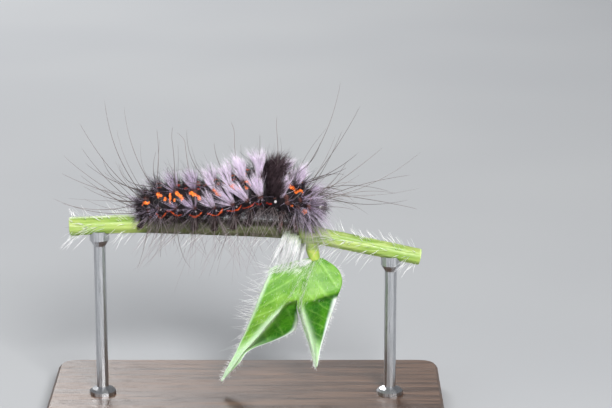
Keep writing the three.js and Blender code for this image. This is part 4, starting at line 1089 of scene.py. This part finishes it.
for index, (name, phi, tx, tz, ty, bow, hook) in enumerate(LONG):
    for side in (1, -1):
        for k in range(2):
            if side < 0 and k and index % 3:
                continue
            p = (phi if side > 0 else 180 - phi) + rng.normal(0, 3)
            x = np.array([at(name) + rng.normal(0, 0.12)])
            root = body_point(x, np.array([p]), np.array([-0.04]))
            tip = np.array([tx, ty, tz - 0.268 * ty])
            if side < 0:
                # the left side's hair mirrors it across the leaning body
                centre = body_axis(np.array([tx]))[0]
                d = tip - centre
                tip = centre + RIGHT * (-(d @ RIGHT)) + UP * (d @ UP)
                tip = root[0] + (tip - root[0]) * rng.uniform(0.72, 0.98) + rng.normal(0, 0.7, 3)
            elif k:
                tip = root[0] + (tip - root[0]) * rng.uniform(0.45, 0.72) + rng.normal(0, 0.6, 3)
            run = tip - root[0]
            across = unit(np.array([-run[2], 0.0, run[0]])) * bow * (1 if k == 0 else 0.6)
            t = np.linspace(0, 1, 19)[:, None]
            line = root[0] + run * t + across * (4 * t * (1 - t)) + rng.normal(0, 0.25, 3) * np.sin(math.pi * t)
            if hook and k == 0:
                line = line + np.array([hook, 0, -0.35 * abs(hook)]) * np.clip((t - 0.78) / 0.22, 0, 1) ** 1.6
            thick = 0.050 if k == 0 else 0.030
            long_hair.strands(line[None], np.array([thick]), skin_map(x, np.array([p])), tip=0.36, power=1.5)

# short bristles all over the skin
n = 2600
sx = rng.uniform(BODY["tail"] + 0.3, NECK - 0.15, n)
sp = rng.uniform(-75, 255, n)
out, up, fwd = body_dirs(sx, sp)
lean = np.tanh((3.7 - sx) / 1.8)
way = unit(out * 0.8 + up * rng.normal(0, 0.4, (n, 1)) - fwd * (0.45 * lean)[:, None] + fwd * rng.normal(0, 0.3, (n, 1)))
short.hairs(body_point(sx, sp, np.full(n, -0.02)), way, rng.uniform(0.35, 0.9, n), rng.normal(0, 0.06, (n, 3)),
            np.full(n, 0.011), skin_map(sx, sp), rings=3)

# bristles of the face and head
n = 260
q = unit(rng.normal(size=(n * 3, 3)) + np.array([0, 0.45, 0.1]))
q = q[(q[:, 1] > -0.25)][:n]
root = head_point(q[:, 0], q[:, 1], q[:, 2], -0.02)
way = unit(unit(root - HC) * 0.75 + FACE * 0.35 + DOWN * 0.25 + rng.normal(0, 0.16, (len(q), 3)))
face_hair = Coat()
face_uv = np.stack([0.1 + 0.8 * (np.arctan2(q[:, 0], q[:, 1]) / (2 * math.pi) + 0.5), 0.1 + 0.8 * (q[:, 2] * 0.5 + 0.5)], -1)
face_hair.hairs(root, way, rng.uniform(0.35, 1.15, len(q)), rng.normal(0, 0.06, (len(q), 3)), np.full(len(q), 0.010),
                face_uv, rings=4)
leg_hair = Coat()
for pair, reach, grip, bow in LEGS:
    for side in (1, -1):
        x = at(pair)
        out = on_body(x, -58, side, 0.25)
        foot = on_stem(x + reach * (1 if side > 0 else 0.7), grip, side, 0.10)
        knee = out * 0.55 + foot * 0.45 + RIGHT * side * bow
        line = spline([out, knee, foot], 30)[2:26]
        k = rng.integers(0, len(line), 26)
        off = unit(rng.normal(size=(26, 3)) + RIGHT * side * 0.8)
        leg_hair.hairs(line[k] + off * 0.2, unit(off + unit(foot - out) * 0.8), rng.uniform(0.2, 0.5, 26),
                       rng.normal(0, 0.05, (26, 3)), np.full(26, 0.009), skin_map(line[k][:, 0], np.full(26, -70.0 if side > 0 else 250.0)),
                       rings=3)
for name, side, foot, line in FEET:
    k = rng.integers(5, 12, 34)
    off = unit(rng.normal(size=(34, 3)) + RIGHT * side * 1.0)
    leg_hair.hairs(line[k] + off * 0.36, unit(off + unit(foot - line[0]) * 0.5), rng.uniform(0.3, 0.8, 34),
                   rng.normal(0, 0.06, (34, 3)), np.full(34, 0.009), skin_map(line[k][:, 0], np.full(34, -62.0 if side > 0 else 242.0)),
                   rings=3)

hair_white = hair_material("hair_white", (0.42, 0.24, 0.34), (0.92, 0.76, 1.0), (0.25, 0.155, 0.32), 0.5, sheen=0.2, glow=0.55,
                           fade=(0.0, 0.40), mixed=(0.52, 1.0, 0.0, 0.92))
hair_lilac = hair_material("hair_lilac", (0.11, 0.06, 0.10), (0.69, 0.56, 0.79), (0.16, 0.11, 0.19), 0.5, spec=0.22, glow=0.4,
                           fade=(0.0, 0.6), mixed=(0.3, 1.0, 0.0, 0.85))
hair_brush = hair_material("hair_brush", (0.003, 0.002, 0.002), (0.115, 0.076, 0.092), (0.004, 0.003, 0.003), 0.6, spec=0.05,
                           fade=(0.25, 1.0), mixed=(0.15, 0.8, 0.0, 0.95))
hair_dark = hair_material("hair_dark", (0.004, 0.003, 0.003), (0.034, 0.024, 0.030), (0.007, 0.005, 0.006), 0.5, spec=0.08)
hair_grey = hair_material("hair_grey", (0.02, 0.014, 0.018), (0.60, 0.51, 0.65), (0.06, 0.045, 0.06), 0.45, spec=0.20,
                          fade=(0.10, 0.9), mixed=(0.3, 1.0, 0.0, 0.9))
hair_fringe = hair_material("hair_fringe", (0.02, 0.014, 0.014), (0.30, 0.25, 0.26), (0.06, 0.046, 0.046), 0.45, spec=0.12,
                            fade=(0.0, 0.75), mixed=(0.30, 1.0, 0.0, 0.85))
hair_long = hair_material("hair_long", (0.06, 0.046, 0.044), (0.155, 0.128, 0.122), (0.075, 0.06, 0.057), 0.4)
for name, coat, material, slot in (
        ("coat_white_right", white, hair_white, "coat_pale"), ("coat_white_left", white_far, hair_white, "coat_pale"),
        ("coat_lilac", lilac, hair_lilac, "coat_pale"), ("coat_brush", brush, hair_brush, "coat_black"),
        ("coat_dark", dark, hair_dark, "coat_dark"), ("coat_rear", rear, hair_dark, "coat_dark"),
        ("coat_grey", grey, hair_grey, "coat_dark"), ("coat_fringe", fringe, hair_fringe, "coat_dark"),
        ("coat_long_hairs", long_hair, hair_long, "coat_dark"), ("coat_short", short, hair_dark, "coat_dark"),
        ("coat_face", face_hair, hair_dark, "coat_dark"), ("coat_legs", leg_hair, hair_dark, "coat_dark")):
    coat.make(name, material, slot)

# ------------------------------------------------------------------ stem and stalk
STALK = dict(x=8.35, bottom=3.25, radius=0.92, lean=0.42, bands=(1, 1, 0.98, 0.93, 0.86, 0.74))
STALK_TOP = stem_axis(STALK["x"])
STALK_LINE = [STALK_TOP + [0, 0, -0.2], STALK_TOP + [0.06, 0, -1.8], STALK_TOP + [STALK["lean"], 0, -STALK["bottom"]]]


def build_stem():
    rows, cols = 520, 96
    xs = np.linspace(STEM["x0"] + 0.01, STEM["x1"] - 0.01, rows)
    w = np.arange(cols) / cols * 2 * math.pi
    c = stem_axis(xs)
    t = unit(np.gradient(c, axis=0))
    across = np.array([0.0, 1, 0])
    up = unit(np.cross(t, across))
    X, W = np.meshgrid(xs, w, indexing="ij")
    ridge = 0.022 * np.cos(W * 9 + 0.04 * X) + 0.012 * np.cos(W * 17 + 0.07 * X + 1)
    lumps = 0.012 * np.sin(X * 1.1 + 2 * np.cos(W)) + 0.008 * np.sin(X * 3.1 + 3 * np.sin(W))
    node = 0.10 * bump(X - STEM["swell_x"] + 0.5, 0.35) + 0.06 * bump(X - STEM["swell_x"] - 0.6, 0.3)
    end = np.minimum(X - STEM["x0"], STEM["x1"] - X)
    r = stem_r(X) - 0.05 + ridge + lumps + node * 0.6 - 0.05 * np.exp(-end / 0.06)
    co = c[:, None] + across * (np.cos(W) * r)[..., None] - up[:, None] * (np.sin(W) * r)[..., None]
    co = np.vstack([co.reshape(-1, 3), c[0] + [0.05, 0, 0], c[-1] - [0.05, 0, 0]])
    faces = quad_grid(rows, cols, True).tolist()
    s, e, last = len(co) - 2, len(co) - 1, (rows - 1) * cols
    faces += [[s, (j + 1) % cols, j] for j in range(cols)] + [[e, last + j, last + (j + 1) % cols] for j in range(cols)]
    line = spline(STALK_LINE, 26)
    k = np.linspace(0, 1, 26)
    radii = np.interp(k, np.linspace(0, 1, 6), STALK["bands"]) * STALK["radius"] - 0.04 + 0.05 * bump(k - 0.32, 0.07)
    parts = [(co, faces), tube(line, radii, 48)]
    co, flat, total = remeshed("stem", parts, 0.085, 3)
    d = co - stem_axis(np.clip(co[:, 0], STEM["x0"], STEM["x1"]))
    rad = np.hypot(d[:, 1], d[:, 2])
    end = smooth(0.12, 0.02, np.minimum(co[:, 0] - STEM["x0"], STEM["x1"] - co[:, 0]))
    stalk = smooth(0.1, 0.8, -d[:, 2] - stem_r(co[:, 0])) * bump(co[:, 0] - STALK["x"], 2.5)
    # painted shade: the stem is tinted dark olive where the body lies over it, as if shaded by the larva and its hair;
    # the stalk is left out
    painted_shade_under_body = smooth(7.5, 6.2, co[:, 0]) * smooth(BODY["tail"] - 0.5, BODY["tail"] + 1.5, co[:, 0]) * (1 - stalk)
    return mesh_from("stem_skin", co, flat, total, attrs=dict(
        cut=end, core=rad / stem_r(co[:, 0]), stalk=stalk, round=np.arctan2(d[:, 2], d[:, 1]), shade=painted_shade_under_body,
        node=bump(co[:, 0] - STEM["swell_x"], 1.1)))


def stem_material():
    m = Nodes("stem_green")
    where = m.where()
    squeeze = m.new("ShaderNodeMapping")
    squeeze.inputs["Scale"].default_value = (0.07, 1.0, 1.0)
    m.link(where, squeeze.inputs["Vector"])
    streak = m.noise(4200.0, 3.0, 0.6, squeeze.outputs[0])
    wide = m.noise(1500.0, 2.0, 0.5, squeeze.outputs[0])
    cloud = m.noise(350.0, 3.0)
    colour = m.mix(m.range(wide, 0.32, 0.68), (0.150, 0.242, 0.038), (0.275, 0.350, 0.090))
    colour = m.mix(m.range(streak, 0.52, 0.72, 0.0, 0.7), colour, (0.46, 0.54, 0.27))
    colour = m.mix(m.range(cloud, 0.4, 0.75, 0.0, 0.35), colour, (0.14, 0.29, 0.03))
    # painted shade under the body: the 'shade' mask mixes the stem towards a mottled dark olive
    colour = m.mix(m.math("MULTIPLY", m.attr("shade"), m.range(wide, 0.3, 0.7, 0.96, 0.82)), colour, (0.040, 0.038, 0.017))
    stalk = m.mix(m.range(m.noise(1900.0, 3.0), 0.42, 0.68), (0.27, 0.42, 0.05), (0.50, 0.50, 0.12))
    colour = m.mix(m.math("MULTIPLY", m.attr("stalk"), 0.75), colour, stalk)
    pith = m.mix(m.range(m.attr("core"), 0.35, 0.85), (0.52, 0.61, 0.31), (0.26, 0.41, 0.09))
    pith = m.mix(m.range(m.voronoi(7000.0), 0.1, 0.5, 0.0, 0.4), pith, (0.75, 0.82, 0.5))
    colour = m.mix(m.attr("cut"), colour, pith)
    height = m.math("ADD", m.math("MULTIPLY", streak, 1.0), m.math("MULTIPLY", m.noise(9000.0, 2.0), 0.25))
    m.set(Base_Color=colour, Roughness=m.range(streak, 0.3, 0.7, 0.36, 0.55), Normal=m.bump(height, 0.4, 0.00006))
    m.shader.inputs["Subsurface Weight"].default_value = 0.12
    m.shader.inputs["Subsurface Radius"].default_value = (0.0004, 0.0006, 0.0002)
    m.shader.inputs["Subsurface Scale"].default_value = 1.0
    m.shader.inputs["Specular IOR Level"].default_value = 0.4
    return m.material


piece("stem_skin", build_stem(), stem_material(), ["perch_stem", "perch_stalk"])

plant_white = hair_material("plant_hair", (0.30, 0.40, 0.17), (1.0, 0.98, 1.0), (0.36, 0.44, 0.42), 0.5, sheen=0.2, glow=0.45,
                            fade=(0.0, 0.40), mixed=(0.40, 1.0, 0.0, 0.95))
stem_hair = Coat()
n = 620
hx = np.concatenate([rng.uniform(STEM["x0"] + 0.2, STEM["x1"] - 0.2, n)])
hw = rng.uniform(0, 2 * math.pi, len(hx))
c = stem_axis(hx)
out = np.stack([0 * hx, np.cos(hw), np.sin(hw)], -1)
out = unit(out + np.array([0.0, 0, 0]))
lean = np.where(out[:, 2] < 0, -0.85, -0.62) + rng.normal(0, 0.2, len(hx))
way = unit(out + np.array([1.0, 0, 0]) * lean[:, None] + rng.normal(0, 0.12, (len(hx), 3)))
size = rng.uniform(1.2, 2.1, len(hx)) * np.where(out[:, 2] < -0.1, 1.4, 1.0)
covered = (hx > BODY["tail"] - 0.3) & (hx < NECK + 0.5) & (out[:, 2] > -0.2)
size = np.where(covered, np.minimum(size, 0.5), size)
near_rod = (np.abs(np.abs(hx) - 18.3) < 1.3) & (out[:, 2] < -0.3)
near_stalk = (np.abs(hx - STALK["x"]) < 1.0) & (out[:, 2] < -0.2)
shaded = (hx > BODY["tail"] + 1.5) & (hx < NECK - 1.0) & (rng.random(len(hx)) < 0.62)
keep = ~near_rod & ~near_stalk & ~shaded
uv = np.stack([0.02 + 0.96 * (hx - STEM["x0"]) / 44, 0.02 + 0.96 * hw / (2 * math.pi)], -1)
stem_hair.hairs((c + out * (stem_r(hx) - 0.08)[:, None])[keep], way[keep], size[keep], (rng.normal(0, 0.08, (len(hx), 3)) - [0, 0, 0.02])[keep],
                np.full(keep.sum(), 0.030), uv[keep], rings=6, wave=0.02, gap=-0.1, tip=0.3)
# the thick white down that hangs from the node beside the stalk, in strands that run down to the leaf's shoulder
strand_x, strand_w = rng.uniform(5.0, 7.55, 44), rng.uniform(-3.25, -0.5, 44)
strand_end = np.stack([3.4 + 1.16 * (strand_x - 5.0) + rng.normal(0, 0.36, 44), rng.uniform(-1.7, 0.9, 44), rng.uniform(18.7, 21.0, 44)], -1)
k = rng.integers(0, 44, 900)
hx, hw = strand_x[k] + rng.normal(0, 0.11, 900), strand_w[k] + rng.normal(0, 0.14, 900)
out = np.stack([0 * hx, np.cos(hw), np.sin(hw)], -1)
root = stem_axis(hx) + out * (stem_r(hx) - 0.06)[:, None]
reach = rng.uniform(0.35, 1.08, 900)
end = root + (strand_end[k] + rng.normal(0, 0.05, (900, 3)) - root) * reach[:, None]
t = np.linspace(0, 1, 8)[None, :, None]
line = root[:, None] + (end - root)[:, None] * t + out[:, None] * (0.30 * np.sin(math.pi * t ** 0.7)) + (
    rng.normal(0, 0.12, (900, 3))[:, None] * np.sin(math.pi * t))
uv = np.stack([0.02 + 0.96 * (hx + 22) / 44, 0.02 + 0.96 * (hw % (2 * math.pi)) / (2 * math.pi)], -1)
stem_hair.strands(line, rng.uniform(0.020, 0.030, 900), uv, tip=0.3, gap=-0.1)
stem_hair.make("stem_hairs", plant_white, "stem")

# ------------------------------------------------------------------ leaf
LEAF = dict(x=8.75, y=-0.3, z=21.0, bulge=2.0, bulge_d=5.4, bulge_h=3.6, back=0.30)
DEPTHS = [0, 0.9, 2.4, 4.3, 6.2, 7.7]
VALLEY = ([0, 0.9, 2.4, 4.3, 6.2, 7.7], [0.0, -0.5, -1.3, -2.05, -2.3, -1.95])
LEFT = ([0, 0.9, 2.4, 4.3, 6.2, 8.4, 10, 11.1, 12.3, 14.2, 16.3],
        [-1.0, -4.85, -5.95, -6.85, -7.55, -8.35, -8.95, -9.45, -9.95, -10.95, -12.0],
        [-0.2, -1.0, -2.1, -3.2, -4.35, -6.0, -7.1, -8.0, -9.0, -10.3, -11.8],
        [0.0, -0.5, -1.3, -2.05, -2.3, -2.15, -2.85, -4.8, -7.95, -9.65, -11.55])
RIGHT_LOBE = ([0, 0.9, 2.5, 4.3, 5.7, 7.7, 10, 12, 14.6],
              [0.0, -0.5, -1.33, -2.05, -2.26, -1.8, -1.25, -0.65, 0.0],
              [0.3, -0.1, -0.8, -1.4, -1.65, -1.35, -0.75, -0.25, 0.15],
              [1.0, 2.45, 3.4, 2.95, 2.55, 1.95, 1.35, 0.8, 0.32])


def blade_depth(d):
    return -LEAF["bulge"] * bump(d - LEAF["bulge_d"], LEAF["bulge_h"])


def leaf_strip(rows, steps, half, crease_side):
    """One lobe from margin to margin: points on its front, and how far across, down and from the midrib each lies."""
    depth, left, rib, right = rows
    q = np.linspace(0.0, depth[-1], steps)
    l, c, r = (curve_through(depth, v, q) for v in (left, rib, right))
    u = np.linspace(-1, 1, 2 * half + 1)
    U, Q = np.meshgrid(u, q)
    off = np.where(U < 0, (c - l)[:, None] * U, (r - c)[:, None] * U)
    fold = smooth(1.5, 6.5, Q)
    wave = 0.10 * np.sin(Q * 1.5 + 3 * U) * np.abs(U) ** 2
    y = (blade_depth(Q) + np.abs(off) * np.where(U < 0, crease_side[0], crease_side[1]) * (1 - 0.3 * np.abs(U)) * (0.25 + 0.75 * fold)
         - 0.20 * bump(off, 0.22 + 0.1 * fold) * fold + wave
         + smooth(0.0, 0.5, U) * (0.75 * smooth(5.1, 6.3, Q + 0.3 * off) - 0.28 * bump(Q + 0.3 * off - 4.9, 0.8)))
    veins = 0.05 * np.maximum(0, np.cos((Q * 1.05 - np.abs(off) * 0.9) * 3.2)) ** 6 * smooth(0.05, 0.3, np.abs(U)) * smooth(1.0, 0.8, np.abs(U))
    back = np.abs(off) * np.where(U < 0, crease_side[0], crease_side[1]) * (1 - 0.3 * np.abs(U)) * (0.25 + 0.75 * fold)
    y = y - veins
    return np.stack([c[:, None] + off, y, -Q - 0.268 * back * smooth(0.0, 0.4, U)], -1), U, Q, off, veins


def build_leaf():
    parts, tags = [], []
    for rows, half, crease in ((LEFT, 26, (0.24, 0.62)), (RIGHT_LOBE, 24, (0.62, 0.34))):
        steps = 190 if rows is LEFT else 170
        g, U, Q, off, veins = leaf_strip(rows, steps, half, crease)
        w = 2 * half + 1
        thin = 0.13 + 0.10 * (1 - np.abs(U)) + 0.12 * bump(off, 0.3)
        front = g + [0, LEAF["back"] * 0.4, 0]
        back = front + np.stack([0 * thin, thin, 0 * thin], -1)
        n = w * steps
        co = np.vstack([front.reshape(-1, 3), back.reshape(-1, 3)])
        f = quad_grid(steps, w, False)
        faces = f.tolist() + (f[:, ::-1] + n).tolist()
        edge = np.concatenate([np.arange(w), np.arange(1, steps) * w + w - 1,
                               (steps - 1) * w + np.arange(w - 2, -1, -1), np.arange(steps - 2, 0, -1) * w])
        for a, b in zip(edge, np.roll(edge, -1)):
            faces.append([int(a), int(a + n), int(b + n), int(b)])
        parts.append((co + [LEAF["x"], LEAF["y"], LEAF["z"]], faces))
        first = rows is LEFT
        # the silky pale side shows on the lobe's outer half, on the shoulder and at the tips; below the shoulder's bend
        # the lobe is deep green, partly the leaf's other side and partly painted shade under the bend
        if first:
            deep_green_and_bend_shade = smooth(0.06, 0.3, U) * smooth(5.6, 6.3, Q + 0.2 * off) * smooth(13.2, 11.6, Q)
        else:
            deep_green_and_bend_shade = smooth(0.02, 0.16, U) * smooth(5.1, 5.7, Q + 0.32 * off) * smooth(12.0, 10.2, Q)
        rib = bump(off + (0.12 if first else -0.05), 0.22 + 0.26 * smooth(5, 9, Q)) * smooth(5.0, 7.0, Q)
        tip = smooth(10.2, 13.2, Q)
        rim = smooth(0.84, 0.98, np.abs(U)) * np.where((U > 0) == first, smooth(7.2, 7.9, Q), 0.45 if first else smooth(4.4, 5.2, Q))
        if first:
            rim = np.maximum(rim, smooth(0.84, 0.98, U) * smooth(6.6, 7.6, Q))
        for key, v in (("deep_green_and_bend_shade", deep_green_and_bend_shade), ("rib", rib), ("rim", rim), ("tip", tip), ("vein", veins / 0.05)):
            tags.append((key, np.tile(v.ravel(), 2)))
    attrs = {k: np.concatenate([v for kk, v in tags if kk == k]) for k in ("deep_green_and_bend_shade", "rib", "rim", "tip", "vein")}
    c, fl, sz = joined(parts)
    return mesh_from("leaf_blade", c, fl, sz, attrs=attrs)


def leaf_material():
    m = Nodes("leaf_green")
    cloud = m.noise(420.0, 4.0)
    fine = m.noise(5200.0, 3.0)
    net = m.voronoi(1500.0, feature="DISTANCE_TO_EDGE")
    pale = m.mix(m.range(cloud, 0.35, 0.7), (0.066, 0.192, 0.009), (0.150, 0.300, 0.034))
    deep_green_and_bend_shade = m.mix(m.range(cloud, 0.35, 0.7), (0.012, 0.090, 0.002), (0.048, 0.200, 0.004))
    # deep green below the shoulder's bend: partly the leaf's other side, partly painted shade under the bend
    colour = m.mix(m.attr("deep_green_and_bend_shade"), pale, deep_green_and_bend_shade)
    colour = m.mix(m.range(net, 0.08, 0.0, 0.0, 0.16), colour, (0.24, 0.44, 0.08))
    colour = m.mix(m.math("MULTIPLY", m.attr("vein"), m.range(m.attr("deep_green_and_bend_shade"), 0.0, 1.0, 0.30, 0.12)), colour, (0.32, 0.52, 0.14))
    colour = m.mix(m.range(fine, 0.5, 0.8, 0.0, 0.10), colour, (0.30, 0.50, 0.14))
    colour = m.mix(m.math("MULTIPLY", m.attr("rib"), 0.88), colour, (0.46, 0.62, 0.40))
    colour = m.mix(m.math("MULTIPLY", m.attr("tip"), 0.7), colour, (0.36, 0.54, 0.32))
    colour = m.mix(m.math("MULTIPLY", m.attr("rim"), 0.85), colour, (0.76, 0.82, 0.80))
    height = m.math("ADD", m.math("MULTIPLY", net, -0.8), m.math("MULTIPLY", fine, 0.5))
    m.set(Base_Color=colour, Roughness=m.range(fine, 0.3, 0.7, 0.42, 0.6), Normal=m.bump(height, 0.35, 0.00008))
    m.shader.inputs["Subsurface Weight"].default_value = 0.3
    m.shader.inputs["Subsurface Radius"].default_value = (0.0004, 0.0007, 0.0002)
    m.shader.inputs["Subsurface Scale"].default_value = 1.0
    m.shader.inputs["Specular IOR Level"].default_value = 0.28
    return m.material


piece("leaf_blade", build_leaf(), leaf_material(), ["perch_leaf"])

leaf_hair = Coat()
origin = np.array([LEAF["x"], LEAF["y"] + LEAF["back"] * 0.4, LEAF["z"]])
for rows, crease, first in ((LEFT, (0.24, 0.62), True), (RIGHT_LOBE, (0.62, 0.34), False)):
    g, U, Q, off, _ = leaf_strip(rows, 190, 26, crease)
    last = g.shape[1] - 1
    for col, sign, lo in ((0, -1, 0.5 if first else 7.9), (last, 1, 7.9 if first else 0.5)):
        n = 260 if first and sign < 0 else 150
        k = rng.integers(2, 186, n)
        k = k[Q[k, col] > lo]
        p = g[k, col] + origin + [0, 0.08, 0]
        down = unit(g[np.minimum(k + 3, 189), col] - g[k - 1, col])
        side = unit(np.cross(down, np.array([0.0, 1, 0]))) * 1.0
        side = side * np.where((side[:, 0] * sign) < 0, -1, 1)[:, None]
        long = np.where(rng.random(len(k)) < 0.22 * (Q[k, col] < 8.5) + 0.05, rng.uniform(1.8, 3.2, len(k)), rng.uniform(0.3, 0.8, len(k)))
        if not (first and sign < 0):
            long = np.minimum(long, 0.9) * 0.75
        way = unit(side * 0.85 + down * rng.normal(0.25, 0.3, (len(k), 1)) + rng.normal(0, 0.16, (len(k), 3)))
        uv = np.stack([0.25 + 0.02 * p[:, 0], 0.05 + 0.05 * Q[k, col]], -1)
        leaf_hair.hairs(p, way, long, rng.normal(0, 0.06, (len(k), 3)), np.full(len(k), 0.013), uv, rings=4, wave=0.02, gap=-5)
    n = 1000
    k, j = rng.integers(3, 186, n), rng.integers(1, last - 1, n)
    pale = (rng.random(n) < 0.35) | (np.abs(off[k, j]) < 0.5)
    k, j = k[pale & ((U[k, j] < 0.1) | (Q[k, j] < 5.2))], j[pale & ((U[k, j] < 0.1) | (Q[k, j] < 5.2))]
    n = len(k)
    p = g[k, j] + origin
    down = unit(g[np.minimum(k + 3, 189), j] - g[k - 1, j])
    way = unit(down * 0.9 + np.array([0.0, -0.35, 0]) + rng.normal(0, 0.2, (n, 3)))
    uv = np.stack([0.25 + 0.02 * p[:, 0], 0.05 + 0.05 * Q[k, j]], -1)
    on_rib = bump(off[k, j], 0.4)
    leaf_hair.hairs(p, way, rng.uniform(0.25, 0.6, n) * (1 + 0.8 * on_rib), rng.normal(0, 0.05, (n, 3)), np.full(n, 0.008), uv, rings=3, gap=-5)
# down on the leaf's foot, running on from the node
n = 330
k, j = (1 + 17 * rng.random(n) ** 1.6).astype(int), rng.integers(1, 27, n)
g, U, Q, off, _ = leaf_strip(LEFT, 190, 26, (0.24, 0.62))
p = g[k, j] + origin
way = unit(np.array([-0.75, -0.22, -0.55]) + rng.normal(0, 0.2, (n, 3)))
leaf_hair.hairs(p, way, rng.uniform(0.6, 1.6, n), rng.normal(0, 0.06, (n, 3)), np.full(n, 0.018),
                np.stack([0.25 + 0.02 * p[:, 0], 0.05 + 0.05 * Q[k, j]], -1), rings=4, gap=-5)
leaf_hair.make("leaf_hairs", plant_white, "leaf")


# ------------------------------------------------------------------ stand
def wood():
    m = Nodes("stand_wood")
    where = m.where()
    squeeze = m.new("ShaderNodeMapping")
    squeeze.inputs["Scale"].default_value = (0.06, 1.0, 1.0)
    m.link(where, squeeze.inputs["Vector"])
    grain = m.noise(900.0, 5.0, 0.6, squeeze.outputs[0], distortion=0.6)
    pores = m.noise(5200.0, 3.0, 0.7, squeeze.outputs[0])
    colour = m.mix(m.range(grain, 0.3, 0.7), (0.030, 0.014, 0.008), (0.115, 0.058, 0.030))
    colour = m.mix(m.range(pores, 0.58, 0.7, 0.0, 0.7), colour, (0.012, 0.006, 0.004))
    height = m.math("SUBTRACT", m.math("MULTIPLY", grain, 0.5), m.range(pores, 0.55, 0.7))
    m.set(Base_Color=colour, Roughness=m.range(grain, 0.3, 0.7, 0.34, 0.48), Normal=m.bump(height, 0.35, 0.00008))
    m.shader.inputs["Coat Weight"].default_value = 0.25
    m.shader.inputs["Coat Roughness"].default_value = 0.25
    return m.material


def steel():
    m = Nodes("stand_steel")
    where = m.where()
    squeeze = m.new("ShaderNodeMapping")
    squeeze.inputs["Scale"].default_value = (1.0, 1.0, 0.02)
    m.link(where, squeeze.inputs["Vector"])
    brushed = m.noise(14000.0, 3.0, 0.6, squeeze.outputs[0])
    colour = m.mix(m.range(brushed, 0.3, 0.7), (0.42, 0.43, 0.45), (0.62, 0.63, 0.65))
    m.set(Base_Color=colour, Roughness=m.range(brushed, 0.3, 0.7, 0.24, 0.4), Normal=m.bump(brushed, 0.12, 0.00002))
    m.shader.inputs["Metallic"].default_value = 1.0
    return m.material


wood_m, steel_m = wood(), steel()
for name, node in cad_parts.items():
    if name.startswith("stand_"):
        node.data.materials.clear()
        node.data.materials.append(wood_m if name == "stand_base" else steel_m)

# ------------------------------------------------------------------ floor, light, camera
bpy.ops.mesh.primitive_plane_add(size=6.0, location=(0, 0, -0.00001))
floor = bpy.context.object
floor.name = "floor"
fm = Nodes("floor_pale")
fm.set(Base_Color=fm.mix(fm.range(fm.noise(9.0, 2.0), 0.3, 0.7), (0.325, 0.335, 0.35), (0.355, 0.365, 0.375)), Roughness=0.85)
floor.data.materials.append(fm.material)


def lamp(name, place, size, power, tint=(1, 1, 1), target=(0.002, 0, 0.022)):
    data = bpy.data.lights.new(name, "AREA")
    data.shape = "DISK"
    data.size = size
    data.energy = power
    data.color = tint
    ob = bpy.data.objects.new(name, data)
    bpy.context.scene.collection.objects.link(ob)
    ob.location = place
    ob.rotation_euler = (Vector(target) - Vector(place)).to_track_quat("-Z", "Y").to_euler()
    return ob


lamp("key", (0.11, -0.41, 0.28), 0.18, 4.9, (1.0, 0.99, 0.98))
lamp("fill", (-0.38, -0.34, 0.14), 0.34, 0.75, (0.94, 0.96, 1.0))
lamp("rim", (-0.12, 0.40, 0.30), 0.22, 1.7, (1.0, 1.0, 1.0))
world = bpy.data.worlds.new("studio")
bpy.context.scene.world = world
world.use_nodes = True
back = world.node_tree.nodes["Background"]
back.inputs["Color"].default_value = (0.93, 0.95, 1.0, 1)
back.inputs["Strength"].default_value = 0.20

camera_data = bpy.data.cameras.new("camera")
camera = bpy.data.objects.new("camera", camera_data)
bpy.context.scene.collection.objects.link(camera)
TARGET, DISTANCE, ELEVATION = Vector((0.007625, 0, 0.02798)), 0.30, 15 * DEG
camera.location = TARGET + DISTANCE * Vector((0, -math.cos(ELEVATION), math.sin(ELEVATION)))
camera.rotation_euler = (TARGET - camera.location).to_track_quat("-Z", "Y").to_euler()
camera_data.sensor_width = 36
camera_data.lens = 36 * DISTANCE / 0.0765
camera_data.clip_start = 0.01
camera_data.clip_end = 20
bpy.context.scene.camera = camera
bpy.context.scene.view_settings.view_transform = "Standard"
